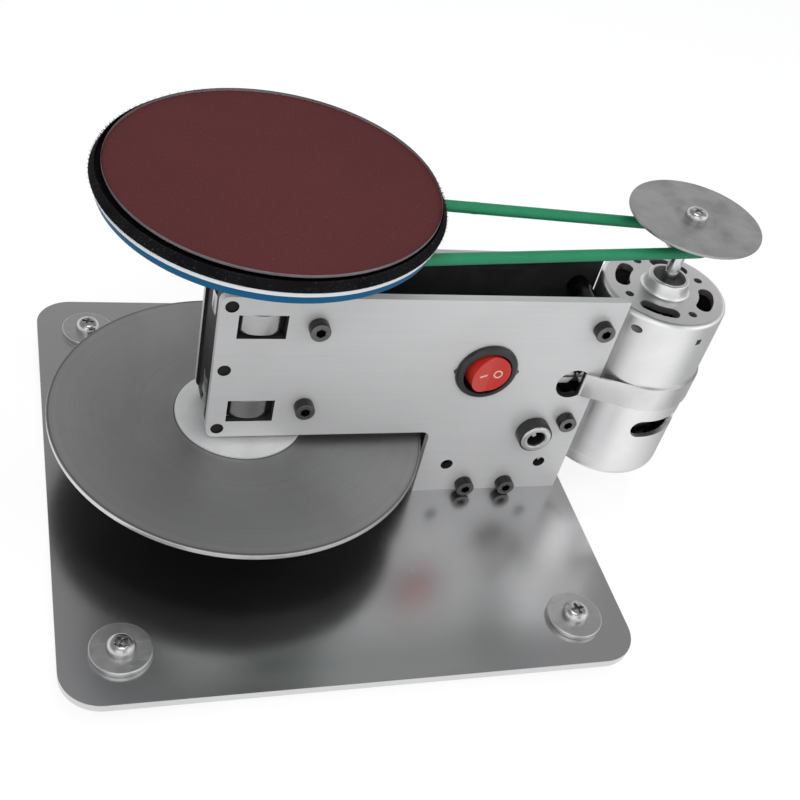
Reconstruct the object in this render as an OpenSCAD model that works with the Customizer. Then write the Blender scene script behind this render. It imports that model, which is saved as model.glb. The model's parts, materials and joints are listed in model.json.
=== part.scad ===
// Small benchtop disc sander: a steel base plate carries two upright side plates. A spindle between
// them holds the sanding pad on top and a bare steel disc below, and a motor clamped to the plates'
// right end drives the spindle through a round belt.

/* [Base plate] */
// Width of the base plate, left to right
base_w = 200; // [180:1:260]
// Depth of the base plate, front to back
base_d = 202; // [160:1:260]
// Thickness of the base plate
base_t = 3; // [2:0.5:6]
// Corner radius of the base plate
base_corner_r = 14; // [4:1:18]
// Distance of the corner screws from the plate's edges
corner_inset = 20; // [14:1:30]
// Diameter of the rubber feet
foot_d = 20; // [18:1:26]
// Height of the rubber feet
foot_h = 8; // [7:0.5:14]
// Diameter of the corner washers
washer_d = 20.5; // [14:0.5:26]
// Thickness of the corner washers
washer_t = 2; // [1:0.5:3]
// Thread diameter of the corner screws
corner_screw_d = 5; // [4:1:6]

/* [Side plates] */
// Thickness of each side plate
plate_t = 3; // [2:0.5:5]
// Clear gap between the side plates
plate_gap = 23; // [22:0.5:25]
// Length of the side plates
plate_len = 143; // [135:1:170]
// Height of the side plates above the base plate
plate_h = 91; // [88:1:110]
// Height of the arm's lower edge above the base plate
arm_clear = 31.2; // [28:0.2:34]
// Width of the leg that stands on the base plate
leg_w = 60; // [54:1:66]
// Corner radius of the side plates
plate_corner_r = 3; // [1:0.5:5]
// Distance from the base plate's right edge to the side plates' right end
plate_inset = 4.1; // [3:0.1:12]
// How far the side plates stand in front of the base plate's middle
plate_forward = 1; // [0:0.5:6]
// Thread diameter of the side plates' cap screws
cap_screw_d = 4; // [3:0.5:4]
// Diameter of the standoffs between the side plates
standoff_d = 8; // [7:0.5:10]
// Diameter of the spare holes at the arm's free end
edge_hole_d = 4.5; // [3:0.1:5]
// Distance of those spare holes from the arm's edges
edge_hole_inset = 3.8; // [3.2:0.1:4.2]
// Diameter of the spare holes in the leg
leg_hole_d = 4.8; // [3:0.1:6]
// Distance of the spare leg holes from the leg's sides
leg_hole_inset = 10.8; // [7:0.1:13]
// Height of the foot block between the plates
block_h = 10; // [9:0.5:11]

/* [Spindle] */
// Distance from the arm's free end to the spindle axis
spindle_inset = 14.5; // [14:0.1:18]
// Diameter of the spindle
spindle_d = 12; // [10:0.5:13]
// Outer diameter of the spindle bearings
bearing_d = 28; // [26:0.5:29]
// Width of the spindle bearings
bearing_w = 8; // [7:0.5:10]
// Distance from the arm's edges to the middle of each bearing
bearing_edge = 11.8; // [9:0.1:13]
// Diameter of the steel disc under the arm
disc_d = 134; // [100:1:134]
// Thickness of that disc
disc_t = 2; // [1:0.5:4]
// Gap between the arm's lower edge and that disc
disc_gap = 3; // [2.6:0.1:5]
// Diameter of the clamping flange on the disc
flange_d = 46; // [30:1:60]
// Thickness of the clamping flange on the disc
flange_t = 1; // [1:0.2:2.2]

/* [Sanding pad] */
// Diameter of the sanding paper
paper_d = 102.8; // [80:0.2:104]
// Thickness of the sanding paper
paper_t = 1; // [0.6:0.1:2]
// Diameter of the hook pad at its widest
pad_d = 108.4; // [105:0.2:125]
// How far the hook pad's edge slopes in up to its top
hook_slope = 1.5; // [0.5:0.1:3]
// How far off the middle the paper is stuck on
paper_off = 1; // [0:0.1:2]
// Thickness of the hook pad
hook_t = 3; // [1.5:0.1:5]
// Thickness of the foam layer under the hook pad
foam_t = 1.6; // [1:0.1:6]
// Height of the moulded backing plate
backing_h = 6.8; // [6:0.1:14]

/* [Drive] */
// Diameter of the round belt
belt_d = 4; // [3:0.5:5]
// Height of the belt's middle above the side plates
belt_rise = 17; // [15:0.5:24]
// Radius of the belt's middle on the spindle pulley
spindle_belt_r = 20.3; // [17:0.1:26]
// Radius of the belt's middle on the motor pulley
motor_belt_r = 8.1; // [7.6:0.1:14]
// Diameter of the guard disc on the motor pulley
guard_d = 47.3; // [30:0.1:48]
// Thickness of the guard disc
guard_t = 1; // [0.5:0.1:3]

/* [Motor] */
// Diameter of the motor can
motor_d = 47; // [44:0.5:50]
// Length of the motor from its end cap to its front face
motor_len = 74.5; // [70:0.5:77]
// How far the motor's front face lies below the plates' top edge
motor_drop = 3.5; // [2:0.5:8]
// Diameter of the motor shaft
motor_shaft_d = 5; // [4:0.5:6]
// Width of the clamp band round the motor
band_w = 10; // [8:0.5:11]
// Thickness of the clamp band
band_t = 0.8; // [0.5:0.1:1]
// Height of the clamp band's middle above the base plate
clamp_z = 54; // [52:0.5:57]
// Diameter of the holes that the clamp band passes through
clamp_hole_d = 13; // [13:0.5:15]
// Distance of those holes from the plates' right end
clamp_hole_inset = 9.8; // [9:0.1:11]

/* [Switch and socket] */
// Diameter of the rocker switch's bezel
bezel_d = 23; // [22:0.5:26]
// Diameter of the switch body behind the bezel
switch_d = 20; // [19:0.5:21]
// Distance of the switch from the plates' right end
switch_inset = 45.9; // [43:0.1:47]
// Height of the switch above the base plate
switch_z = 60.5; // [56:0.5:66]
// Tilt of the rocker each way from level
rocker_tilt = 10; // [6:1:12]
// Outer diameter of the power socket
jack_d = 13; // [12:0.5:14]
// Distance of the power socket from the plates' right end
jack_inset = 19.2; // [18:0.1:21]
// Height of the power socket above the base plate
jack_z = 31.3; // [30:0.1:33]

/* [Hidden] */
$fn = 96;

// Clearances: pressed fits, screws in their holes, running fits and pieces that pass each other
press = 0.02;
ease = 0.25;
run = 0.05;
pass = 0.3;
// Depth that a cut runs past the face it opens
past = 1;

// Heights: the deck is the top of the base plate
deck_z = foot_h + base_t;
lower_bearing_z = deck_z + arm_clear + bearing_edge;
upper_bearing_z = deck_z + plate_h - bearing_edge;
belt_z = deck_z + plate_h + belt_rise;
motor_top_z = deck_z + plate_h - motor_drop;
motor_low_z = motor_top_z - motor_len;

// Motor clamp: the band lies on the can, and its spare end lies over it
motor_r = motor_d / 2;
band_r = motor_r + run + band_t / 2;
tail_r = band_r + band_t + run;
tail_lift = 1;
tail_turn = 54;

// Plan: everything is placed from the base plate's left edge, then centred on the whole length
motor_seat = sqrt(pow(motor_r, 2) - pow(plate_gap / 2, 2)) + pass;
motor_from_left = base_w - plate_inset + motor_seat;
whole_len = motor_from_left + max(tail_r + band_t / 2, guard_d / 2);
left_x = -whole_len / 2;
base_x = left_x + base_w / 2;
end_x = left_x + base_w - plate_inset;
arm_x = end_x - plate_len;
leg_x = end_x - leg_w;
spindle_x = arm_x + spindle_inset;
motor_x = left_x + motor_from_left;
mid_y = -plate_forward;
outer_y = plate_gap / 2 + plate_t;

// Screws of the side plates: [x, height above the deck]
standoff_gap = 0.35;
right_screw_inset = 7.3;
top_screw_inset = 11.1;
left_low_inset = 14.2;
right_low_inset = 5.5;
left_screw_x = spindle_x + bearing_d / 2 + standoff_d / 2 + standoff_gap;
right_screw_x = end_x - right_screw_inset;
cap_screw_spots = [
    [left_screw_x, plate_h - top_screw_inset],
    [left_screw_x, arm_clear + left_low_inset],
    [right_screw_x, plate_h - top_screw_inset],
    [right_screw_x, arm_clear + right_low_inset]
];
cap_reach = plate_t + 8;

// Foot block between the plates, with a screw in each end from below
foot_screw_z = 3.7;
foot_screw_inset = 20;
foot_screw_gap = 17;
foot_screw_x = leg_x + foot_screw_inset;
foot_screw_spots = [[foot_screw_x, foot_screw_z], [foot_screw_x + foot_screw_gap, foot_screw_z]];
block_left_inset = 6;
block_right_inset = 8;
block_screw_inset = 6;
block_left = leg_x + block_left_inset;
block_right = end_x - block_right_inset;
block_screw_xs = [block_left + block_screw_inset, block_right - block_screw_inset];
block_screw_d = 4;
block_roof = 3;
leg_hole_rise = 4;

// Bearings: ball ring, races and the window that each bearing shows through
ball_d = 4.6;
ball_ring_r = (bearing_d + spindle_d) / 4;
ball_count = 8;
race_gap = 2.4;
inner_race_r = ball_ring_r - race_gap / 2;
outer_race_r = ball_ring_r + race_gap / 2;
shield_t = 0.4;
shield_inset = 0.3;
window_ease = 1.4;
chord = 2 * sqrt(max(pow(bearing_d / 2, 2) - pow(plate_gap / 2, 2), 1));
window_w = chord + pass;
window_h = bearing_w + window_ease;

// Bearing carrier between the plates, held by pegs in the plates' small holes
carrier_w = bearing_d - 1;
carrier_end = 0.5;
carrier_room = 1;
peg_sink = 0.6;
edge_hole_x = arm_x + edge_hole_inset;
edge_hole_zs = [
    arm_clear + edge_hole_inset, (arm_clear + plate_h) / 2, plate_h - edge_hole_inset
];

// Steel disc under the arm and what clamps it
disc_z = deck_z + arm_clear - disc_gap;
lower_flange_d = flange_d - 6;
lower_flange_t = 3;
thread_step = 1;
thread_d = spindle_d - 2 * thread_step;
nut_h = 8;
nut_z = disc_z - disc_t - lower_flange_t - nut_h;
thread_tail = 2;

// Spindle pulley, the pad above it and the spindle's threaded top
groove_r = belt_d / 2 + pass;
pulley_h = 10;
pulley_lip = 1;
pulley_r = spindle_belt_r + pulley_lip;
pulley_hub_r = 14;
pulley_hub_h = 8;
pulley_top_z = belt_z + pulley_h / 2;
pulley_low_z = belt_z - pulley_h / 2 - pulley_hub_h;
sleeve_wall = 2;
sleeve_r = spindle_d / 2 + sleeve_wall;
pad_z = pulley_top_z + pass * 2;
foam_in = 0.6;
foam_z = pad_z + backing_h;
hook_z = foam_z + foam_t;
paper_z = hook_z + hook_t;
shoulder_w = 1;
pad_thread_d = spindle_d - 2 * shoulder_w;
shoulder_z = pad_z;
thread_end = 1.5;
spindle_top_z = foam_z - thread_end;

// Belt: the angle at which its straight runs leave both pulleys
axle_gap = motor_x - spindle_x;
belt_wrap = acos((spindle_belt_r - motor_belt_r) / axle_gap);

// Motor pulley: a slim lower lip, the groove, and the guard disc on top
lip_cut = 1.2;
crown_lip = 0.2;
crown_h = 8;
lip_h = 2.6;
shaft_end = 1;
lip_r = motor_belt_r - lip_cut;
crown_r = motor_belt_r + crown_lip;
guard_z = belt_z + crown_h;
motor_pulley_z = belt_z - lip_h;
shaft_top_z = belt_z - shaft_end;
set_screw_d = 4;
set_screw_sink = 1.2;
set_screw_socket = 2;
guard_screw_d = 3;
guard_screw_head_d = 8;
guard_screw_head_h = 2.6;
guard_screw_len = 6;

// Motor: heights above its end cap
can_wall = 2;
can_r = motor_r - can_wall;
end_cap_h = 7;
front_wall = 2.5;
boss_d = 14.8;
boss_flare = 2.4;
boss_wall = 1.3;
boss_h = 5;
bush_d = boss_d - 2 * boss_wall;
bush_sink = 1.5;
cap_floor = 1;
rear_bush_h = 5;
shaft_float = 0.5;
commutator_r = 6;
commutator_z = motor_low_z + 6.5;
commutator_h = 9;
brush_w = 5;
brush_h = 12;
brush_foot_z = motor_low_z + 2;
holder_r = 15;
vent_z = motor_low_z + 21.9;
vent_h = 7.8;
magnet_rise = 2;
vent_angle = 46;
slot_in_r = 13;
slot_out_r = 18.5;
slot_angle = 34;
front_hole_r = 16.5;
front_hole_d = 3.2;
magnet_t = 3.4;
magnet_z = vent_z + vent_h + magnet_rise;
magnet_short = 38;
magnet_len = motor_len - magnet_short;
air_gap = 1;
core_r = can_r - magnet_t - air_gap;
core_rise = 21;
core_z = motor_low_z + core_rise;
core_short = 34;
core_len = motor_len - core_short;
core_slots = 12;
core_slot_w = 1.8;
winding_h = 4;
winding_inset = 1;
winding_gap = 2.5;
lead_d = 1.6;
lead_spread = 2.5;
lead_z = motor_low_z + 11;
grommet_d = 7.6;
grommet_lip = 0.5;

// Clamp band: it crosses between the plates inside the clamp holes, beside the worm
clamp_hole_x = end_x - clamp_hole_inset;
cross_shift = 3.4;
cross_x = clamp_hole_x + cross_shift;
bend_r = 1.5;
cross_y = outer_y + band_t / 2 + pass;
worm_d = 6;
worm_len = 12;
worm_head_d = 7.4;
worm_head_h = 4;
housing_wall = 0.8;
slot_w = 1.2;
slot_depth = 1.5;
worm_x = cross_x - band_t * 1.5 - run * 2 - worm_d / 2 - housing_wall / 2;

// Rocker switch: bezel, body behind the plate, rocker and its pivot
switch_x = end_x - switch_inset;
bezel_t = 2;
switch_depth = 15;
bezel_w = 2.5;
well_d = bezel_d - 2 * bezel_w;
well_depth = 8;
rocker_ease = 1.3;
rocker_r = well_d / 2 - rocker_ease;
pivot_d = 3;
pivot_in = 2.5;
pivot_seat = 0.6;
blade = [0.8, 6, 4.8];
blade_spread = 4;

// Power socket: collar outside, barrel through the plate, nut behind it
jack_x = end_x - jack_inset;
collar_h = 5;
collar_w = 1;
barrel_d = jack_d - 2 * collar_w;
barrel_len = 14;
jack_bore_d = 6.4;
jack_bore_len = 12;
jack_pin_d = 2.1;
jack_pin_sink = 2;
jack_nut_d = 15;
jack_nut_h = 2.5;
lug = [1.6, 4, 0.8];
lug_spread = 2.5;

// Routes of the leads, from the plates' right end, their mid-plane and the deck
power_route = [
    [-21.7, 3.5, 31.3], [-21.7, 6, 31.3], [-22.5, 7.8, 33], [-26, 8.5, 38], [-32, 8.8, 47],
    [-38, 9.3, 55], [-41, 9.8, 59], [-41.9, 9, 60.5], [-41.9, 6.5, 60.5]
];
switch_route = [
    [-49.9, 6.5, 60.5], [-49.9, 9, 60.5], [-49.5, 9.8, 57], [-48, 9.8, 50], [-42, 9.5, 38],
    [-34, 8.5, 29], [-24, 6.5, 24], [-14, 3.5, 23.5], [-7, 2.5, 24], [-2, 2.5, 24], [5.4, 2.5, 24]
];
return_route = [
    [-16.7, 3.5, 31.3], [-16.7, 5.5, 31.3], [-16.3, 6.5, 29.5], [-14.5, 5, 26.5], [-11, 0, 24.5],
    [-7, -2.5, 24], [1, -2.5, 24], [3.5, -4.5, 24], [5.5, -9, 24], [11, -15.5, 24], [20, -18, 24],
    [29, -16, 24], [34.5, -10, 24], [36.3, -5, 24], [36, -2.5, 24]
];

// A hollow cylinder standing on z = 0
module ring(d_out, d_in, h) {
    difference() {
        cylinder(d = d_out, h = h);
        translate([0, 0, -past]) cylinder(d = d_in, h = h + 2 * past);
    }
}

// Children standing on the spindle axis, on the motor axis, or out of the front plate's outer face
module at_spindle(z) {
    translate([spindle_x, mid_y, z]) children();
}

module at_motor(z) {
    translate([motor_x, mid_y, z]) children();
}

module on_front(x, z) {
    translate([x, mid_y - outer_y, deck_z + z]) rotate([90, 0, 0]) children();
}

module on_rear(x, z) {
    translate([x, mid_y + outer_y, deck_z + z]) rotate([-90, 0, 0]) children();
}

// Children at the four corners of the base plate
module at_corners(z) {
    for (sx = [-1, 1], sy = [-1, 1])
        translate([base_x + sx * (base_w / 2 - corner_inset), sy * (base_d / 2 - corner_inset), z])
            children();
}

// A flat rectangle with round corners, centred
module round_rect(w, d, r) {
    square([w - 2 * r, d], center = true);
    square([w, d - 2 * r], center = true);
    for (sx = [-1, 1], sy = [-1, 1])
        translate([sx * (w / 2 - r), sy * (d / 2 - r)]) circle(r);
}

// Socket cap screw: its head stands on z = 0 and its shank hangs below
module cap_screw(d, reach) {
    difference() {
        cylinder(d = d * 1.75, h = d);
        translate([0, 0, d * 0.45]) cylinder(d = d * 0.86, h = d, $fn = 6);
    }
    translate([0, 0, -reach]) cylinder(d = d, h = reach);
}

// Pan-head screw with a cross recess, standing the same way
module pan_screw(d, head_d, head_h, reach) {
    difference() {
        union() {
            cylinder(d = head_d, h = head_h * 0.55);
            translate([0, 0, head_h * 0.55]) cylinder(d1 = head_d, d2 = head_d * 0.6, h = head_h * 0.45);
        }
        for (a = [0, 90])
            rotate(a) translate([-head_d * 0.27, -head_d * 0.06, head_h * 0.4])
                cube([head_d * 0.54, head_d * 0.12, head_h]);
    }
    translate([0, 0, -reach]) cylinder(d = d, h = reach);
}

// Hexagon nut standing on z = 0
module hex_nut(flats, bore, h) {
    difference() {
        cylinder(d = flats / cos(30), h = h, $fn = 6);
        translate([0, 0, -past]) cylinder(d = bore, h = h + 2 * past);
    }
}

// Points of an arc, and a strip of even thickness along a row of points
function arc(c, r, from, to, steps) =
    [for (i = [0:steps]) let (a = from + (to - from) * i / steps) c + r * [cos(a), sin(a)]];

// Direction of a row of points at one of them; a closed row runs on from its last point to its first
function heading(p, i, closed = false) =
    let (
        n = len(p),
        a = closed ? p[(i + n - 1) % n] : p[max(i - 1, 0)],
        b = closed ? p[(i + 1) % n] : p[min(i + 1, n - 1)]
    )
    (b - a) / norm(b - a);

function shifted(p, side) =
    [for (i = [0:len(p) - 1]) let (h = heading(p, i)) p[i] + side * [-h[1], h[0]]];

module strip(p, t) {
    left = shifted(p, t / 2);
    right = shifted(p, -t / 2);
    polygon(concat(left, [for (i = [len(p) - 1:-1:0]) right[i]]));
}

// A round tube swept along a row of points: capped square at both ends, or closed on itself
function tube_ring(p, i, d, sides, closed) =
    let (
        t = heading(p, i, closed),
        side = cross(t, abs(t[2]) < 0.8 ? [0, 0, 1] : [1, 0, 0]),
        u = side / norm(side),
        v = cross(t, u)
    )
    [for (k = [0:sides - 1]) let (a = 360 * k / sides) p[i] + d / 2 * (cos(a) * u + sin(a) * v)];

module tube(p, d, sides, closed = false) {
    points = [for (i = [0:len(p) - 1]) each tube_ring(p, i, d, sides, closed)];
    last = (len(p) - 1) * sides;
    walls = [
        for (i = [0:len(p) - (closed ? 1 : 2)], k = [0:sides - 1])
            let (
                near = i * sides,
                far = (i + 1) % len(p) * sides,
                next = (k + 1) % sides
            )
            each [[near + k, near + next, far + next], [near + k, far + next, far + k]]
    ];
    ends = closed ? [] : [
        for (k = [1:sides - 2]) each [[0, k + 1, k], [last, last + k, last + k + 1]]
    ];
    polyhedron(points, concat(walls, ends));
}

module lead(route) {
    tube([for (q = route) q + [end_x, mid_y, deck_z]], lead_d, 8);
}

// Base plate and its feet
module base_plate() {
    color("gainsboro") difference() {
        translate([base_x, 0, foot_h]) linear_extrude(base_t) round_rect(base_w, base_d, base_corner_r);
        at_corners(foot_h - past) cylinder(d = corner_screw_d + 2 * ease, h = base_t + 2 * past);
        for (x = block_screw_xs)
            translate([x, mid_y, foot_h - past])
                cylinder(d = block_screw_d + 2 * ease, h = base_t + 2 * past);
    }
}

foot_web = 3;
foot_taper = 1;
nut_flats = corner_screw_d * 1.6;
nut_ease = 1;
foot_nut_h = 3.5;
screw_end = 0.5;

module rubber_feet() {
    color("dimgray") at_corners(0) difference() {
        cylinder(d1 = foot_d - 2 * foot_taper, d2 = foot_d, h = foot_h);
        translate([0, 0, -past])
            cylinder(d = nut_flats / cos(30) + 2 * nut_ease, h = foot_h - foot_web + past);
        cylinder(d = corner_screw_d + 2 * ease, h = foot_h + past);
    }
}

module corner_washers() {
    color("silver") at_corners(deck_z) ring(washer_d, corner_screw_d + 2 * ease, washer_t);
}

module corner_screws() {
    reach = washer_t + base_t + foot_web + foot_nut_h + screw_end;
    color("silver") at_corners(deck_z + washer_t)
        rotate(25) pan_screw(corner_screw_d, corner_screw_d * 1.9, corner_screw_d * 0.7, reach);
}

module foot_nuts() {
    color("silver") at_corners(foot_h - foot_web - foot_nut_h)
        hex_nut(nut_flats, corner_screw_d + 2 * run, foot_nut_h);
}

// Side plates, seen from the front: x along the base plate, y up from the deck
module plate_outline() {
    r = plate_corner_r;
    difference() {
        union() {
            translate([arm_x + r, arm_clear]) square([plate_len - r, plate_h - arm_clear]);
            translate([arm_x, arm_clear + r]) square([plate_len, plate_h - arm_clear - 2 * r]);
            for (y = [arm_clear + r, plate_h - r]) translate([arm_x + r, y]) circle(r);
            translate([leg_x, 0]) square([leg_w, plate_h]);
            translate([leg_x - r, arm_clear - r]) square([2 * r, 2 * r]);
        }
        translate([leg_x - r, arm_clear - r]) circle(r);
    }
}

module plate_holes() {
    for (z = [lower_bearing_z, upper_bearing_z])
        translate([spindle_x, z - deck_z]) square([window_w, window_h], center = true);
    for (s = concat(cap_screw_spots, foot_screw_spots))
        translate(s) circle(d = cap_screw_d + 2 * ease);
    for (z = edge_hole_zs) translate([edge_hole_x, z]) circle(d = edge_hole_d);
    for (x = [leg_x + leg_hole_inset, end_x - leg_hole_inset])
        translate([x, block_h + leg_hole_rise]) circle(d = leg_hole_d);
    translate([clamp_hole_x, clamp_z]) circle(d = clamp_hole_d);
}

module front_plate() {
    color("lightgray") translate([0, mid_y - plate_gap / 2, deck_z]) rotate([90, 0, 0])
        linear_extrude(plate_t) difference() {
            plate_outline();
            plate_holes();
            translate([switch_x, switch_z]) circle(d = switch_d + ease);
            translate([jack_x, jack_z]) circle(d = barrel_d + ease);
        }
}

module rear_plate() {
    color("lightgray") translate([0, mid_y + outer_y, deck_z]) rotate([90, 0, 0])
        linear_extrude(plate_t) difference() {
            plate_outline();
            plate_holes();
        }
}

module standoffs() {
    color("silver") for (s = cap_screw_spots)
        translate([s[0], mid_y + plate_gap / 2, deck_z + s[1]]) rotate([90, 0, 0])
            ring(standoff_d, cap_screw_d + 2 * run, plate_gap);
}

module front_cap_screws() {
    color("black") for (s = cap_screw_spots) on_front(s[0], s[1]) cap_screw(cap_screw_d, cap_reach);
}

module rear_cap_screws() {
    color("black") for (s = cap_screw_spots) on_rear(s[0], s[1]) cap_screw(cap_screw_d, cap_reach);
}

module foot_cap_screws() {
    color("black") for (s = foot_screw_spots) {
        on_front(s[0], s[1]) cap_screw(cap_screw_d, cap_reach);
        on_rear(s[0], s[1]) cap_screw(cap_screw_d, cap_reach);
    }
}

module foot_block() {
    color("silver") difference() {
        translate([block_left, mid_y - plate_gap / 2, deck_z])
            cube([block_right - block_left, plate_gap, block_h]);
        for (s = foot_screw_spots)
            translate([s[0], mid_y + plate_gap / 2 + past, deck_z + s[1]]) rotate([90, 0, 0])
                cylinder(d = cap_screw_d + 2 * run, h = plate_gap + 2 * past);
        for (x = block_screw_xs)
            translate([x, mid_y, deck_z - past]) cylinder(d = block_screw_d + 2 * run, h = block_h);
    }
}

module block_screws() {
    color("black") for (x = block_screw_xs)
        translate([x, mid_y, foot_h]) rotate([180, 0, 0])
            cap_screw(block_screw_d, base_t + block_h - block_roof);
}

// Spindle bearings: a black carrier between the plates holds the outer races, which show through
// the plates' windows, and the inner races turn with the spindle
module bearing_carrier() {
    low = deck_z + arm_clear + carrier_end;
    high = deck_z + plate_h - carrier_end;
    shoulder_low = lower_bearing_z + bearing_w / 2;
    shoulder_high = upper_bearing_z - bearing_w / 2;
    peg_len = plate_gap + 2 * (plate_t - peg_sink);
    color("black") difference() {
        union() {
            translate([spindle_x - carrier_w / 2, mid_y - plate_gap / 2, low])
                cube([carrier_w, plate_gap, high - low]);
            for (z = edge_hole_zs)
                translate([edge_hole_x, mid_y + peg_len / 2, deck_z + z]) rotate([90, 0, 0])
                    cylinder(d = edge_hole_d - 2 * run, h = peg_len);
        }
        at_spindle(low - past) cylinder(d = bearing_d + 2 * press, h = shoulder_low - low + past);
        at_spindle(shoulder_high) cylinder(d = bearing_d + 2 * press, h = high - shoulder_high + past);
        at_spindle(low) cylinder(r = sleeve_r + carrier_room, h = high - low);
    }
}

module at_bearings() {
    for (z = [lower_bearing_z, upper_bearing_z]) at_spindle(z - bearing_w / 2) children();
}

module ball_track() {
    translate([0, 0, bearing_w / 2]) rotate_extrude() translate([ball_ring_r, 0])
        circle(d = ball_d + 2 * run);
}

module bearing_outer_races() {
    color("silver") at_bearings() difference() {
        ring(bearing_d, 2 * outer_race_r, bearing_w);
        ball_track();
    }
}

module bearing_inner_races() {
    color("silver") at_bearings() difference() {
        ring(2 * inner_race_r, spindle_d + 2 * press, bearing_w);
        ball_track();
    }
}

module bearing_balls() {
    color("white") at_bearings() for (i = [0:ball_count - 1])
        rotate(i * 360 / ball_count) translate([ball_ring_r, 0, bearing_w / 2]) sphere(d = ball_d);
}

module bearing_shields() {
    color("gray") at_bearings() for (z = [shield_inset, bearing_w - shield_inset - shield_t])
        translate([0, 0, z]) ring(2 * (outer_race_r - press), 2 * (inner_race_r + pass), shield_t);
}

module bearing_spacer() {
    low = lower_bearing_z + bearing_w / 2;
    color("silver") at_spindle(low)
        ring(2 * sleeve_r, spindle_d + 2 * press, upper_bearing_z - bearing_w / 2 - low);
}

module pulley_collar() {
    low = upper_bearing_z + bearing_w / 2;
    color("silver") at_spindle(low) ring(2 * sleeve_r, spindle_d + 2 * press, pulley_low_z - low);
}

module disc_spacer() {
    low = disc_z + flange_t;
    color("silver") at_spindle(low)
        ring(2 * sleeve_r, spindle_d + 2 * press, lower_bearing_z - bearing_w / 2 - low);
}

module spindle_shaft() {
    low = nut_z - thread_tail;
    color("silver") {
        at_spindle(disc_z - disc_t) cylinder(d = spindle_d, h = shoulder_z - disc_z + disc_t);
        at_spindle(low) cylinder(d = thread_d, h = disc_z - disc_t - low);
        at_spindle(shoulder_z) cylinder(d = pad_thread_d, h = spindle_top_z - shoulder_z);
    }
}

// Steel disc under the arm, clamped between two flanges by a nut
module disc_flange() {
    color("lightgray") at_spindle(disc_z) ring(flange_d, spindle_d + 2 * press, flange_t);
}

module lower_disc() {
    color("gray") at_spindle(disc_z - disc_t) ring(disc_d, spindle_d + 2 * press, disc_t);
}

module lower_flange() {
    color("dimgray") at_spindle(nut_z + nut_h) ring(lower_flange_d, thread_d + 2 * press, lower_flange_t);
}

module spindle_nut() {
    color("dimgray") at_spindle(nut_z) hex_nut(thread_d * 1.7, thread_d + 2 * press, nut_h);
}

// Spindle pulley with a set screw in its hub
module spindle_pulley() {
    color("silver") at_spindle(0) difference() {
        union() {
            translate([0, 0, pulley_low_z]) cylinder(r = pulley_hub_r, h = pulley_hub_h);
            translate([0, 0, belt_z - pulley_h / 2]) cylinder(r = pulley_r, h = pulley_h);
        }
        translate([0, 0, pulley_low_z - past])
            cylinder(d = spindle_d + 2 * press, h = pulley_h + pulley_hub_h + 2 * past);
        translate([0, 0, belt_z]) rotate_extrude() translate([spindle_belt_r, 0]) circle(r = groove_r);
        translate([0, 0, pulley_low_z + pulley_hub_h / 2]) rotate([90, 0, 0])
            cylinder(d = set_screw_d + 2 * run, h = pulley_hub_r + past);
    }
}

module pulley_set_screw() {
    length = pulley_hub_r - spindle_d / 2 - set_screw_sink;
    color("black") at_spindle(pulley_low_z + pulley_hub_h / 2)
        translate([0, -spindle_d / 2 - run, 0]) rotate([90, 0, 0]) difference() {
            cylinder(d = set_screw_d, h = length);
            translate([0, 0, length - set_screw_socket])
                cylinder(d = set_screw_d / 2, h = set_screw_socket + past, $fn = 6);
        }
}

// Sanding pad: moulded backing, foam, hook pad and paper
module backing_plate() {
    rim_r = pad_d / 2 - 1.4;
    color("steelblue") at_spindle(pad_z) rotate_extrude() polygon([
        [pad_thread_d / 2 + press, 0], [18, 0], [23, 0.8], [rim_r - 7, 2.2],
        [rim_r - 1, backing_h - 3.2], [rim_r, backing_h - 2.6], [rim_r, backing_h],
        [pad_thread_d / 2 + press, backing_h]
    ]);
}

module foam_layer() {
    color("whitesmoke") at_spindle(foam_z) cylinder(r = pad_d / 2 - foam_in, h = foam_t);
}

module hook_pad() {
    hook_top_r = pad_d / 2 - hook_slope;
    color("black") at_spindle(hook_z) rotate_extrude() polygon([
        [0, 0], [pad_d / 2 - 0.3, 0], [pad_d / 2, 0.5], [hook_top_r, hook_t], [0, hook_t]
    ]);
}

module sanding_disc() {
    color("brown") at_spindle(paper_z) rotate(30) translate([paper_off, 0, 0])
        cylinder(d = paper_d, h = paper_t);
}

// Round belt: a bend on each pulley and the two straight runs between them
module drive_belt() {
    loop = concat(
        arc([spindle_x, mid_y], spindle_belt_r, belt_wrap, 360 - belt_wrap, 26),
        arc([motor_x, mid_y], motor_belt_r, -belt_wrap, belt_wrap, 16)
    );
    color("mediumseagreen") tube([for (q = loop) [q[0], q[1], belt_z]], belt_d, 12, closed = true);
}

// Motor pulley, its guard disc and the screw that holds the disc
module motor_pulley() {
    color("silver") at_motor(0) difference() {
        union() {
            translate([0, 0, motor_pulley_z]) cylinder(r = lip_r, h = belt_z - motor_pulley_z);
            translate([0, 0, belt_z]) cylinder(r = crown_r, h = guard_z - belt_z);
        }
        translate([0, 0, motor_pulley_z - past])
            cylinder(d = motor_shaft_d + 2 * press, h = shaft_top_z - motor_pulley_z + past);
        translate([0, 0, belt_z]) rotate_extrude() translate([motor_belt_r, 0]) circle(r = groove_r);
        translate([0, 0, guard_z - guard_screw_len])
            cylinder(d = guard_screw_d + 2 * run, h = guard_screw_len + past);
    }
}

module guard_disc() {
    color("silver") at_motor(guard_z) ring(guard_d, guard_screw_d + 2 * ease, guard_t);
}

module guard_screw() {
    reach = guard_t + guard_screw_len - ease;
    color("silver") at_motor(guard_z + guard_t)
        rotate(20) pan_screw(guard_screw_d, guard_screw_head_d, guard_screw_head_h, reach);
}

// Motor: rotor
module motor_shaft() {
    low = motor_low_z + cap_floor + shaft_float;
    color("silver") at_motor(low) cylinder(d = motor_shaft_d, h = shaft_top_z - low);
}

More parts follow.
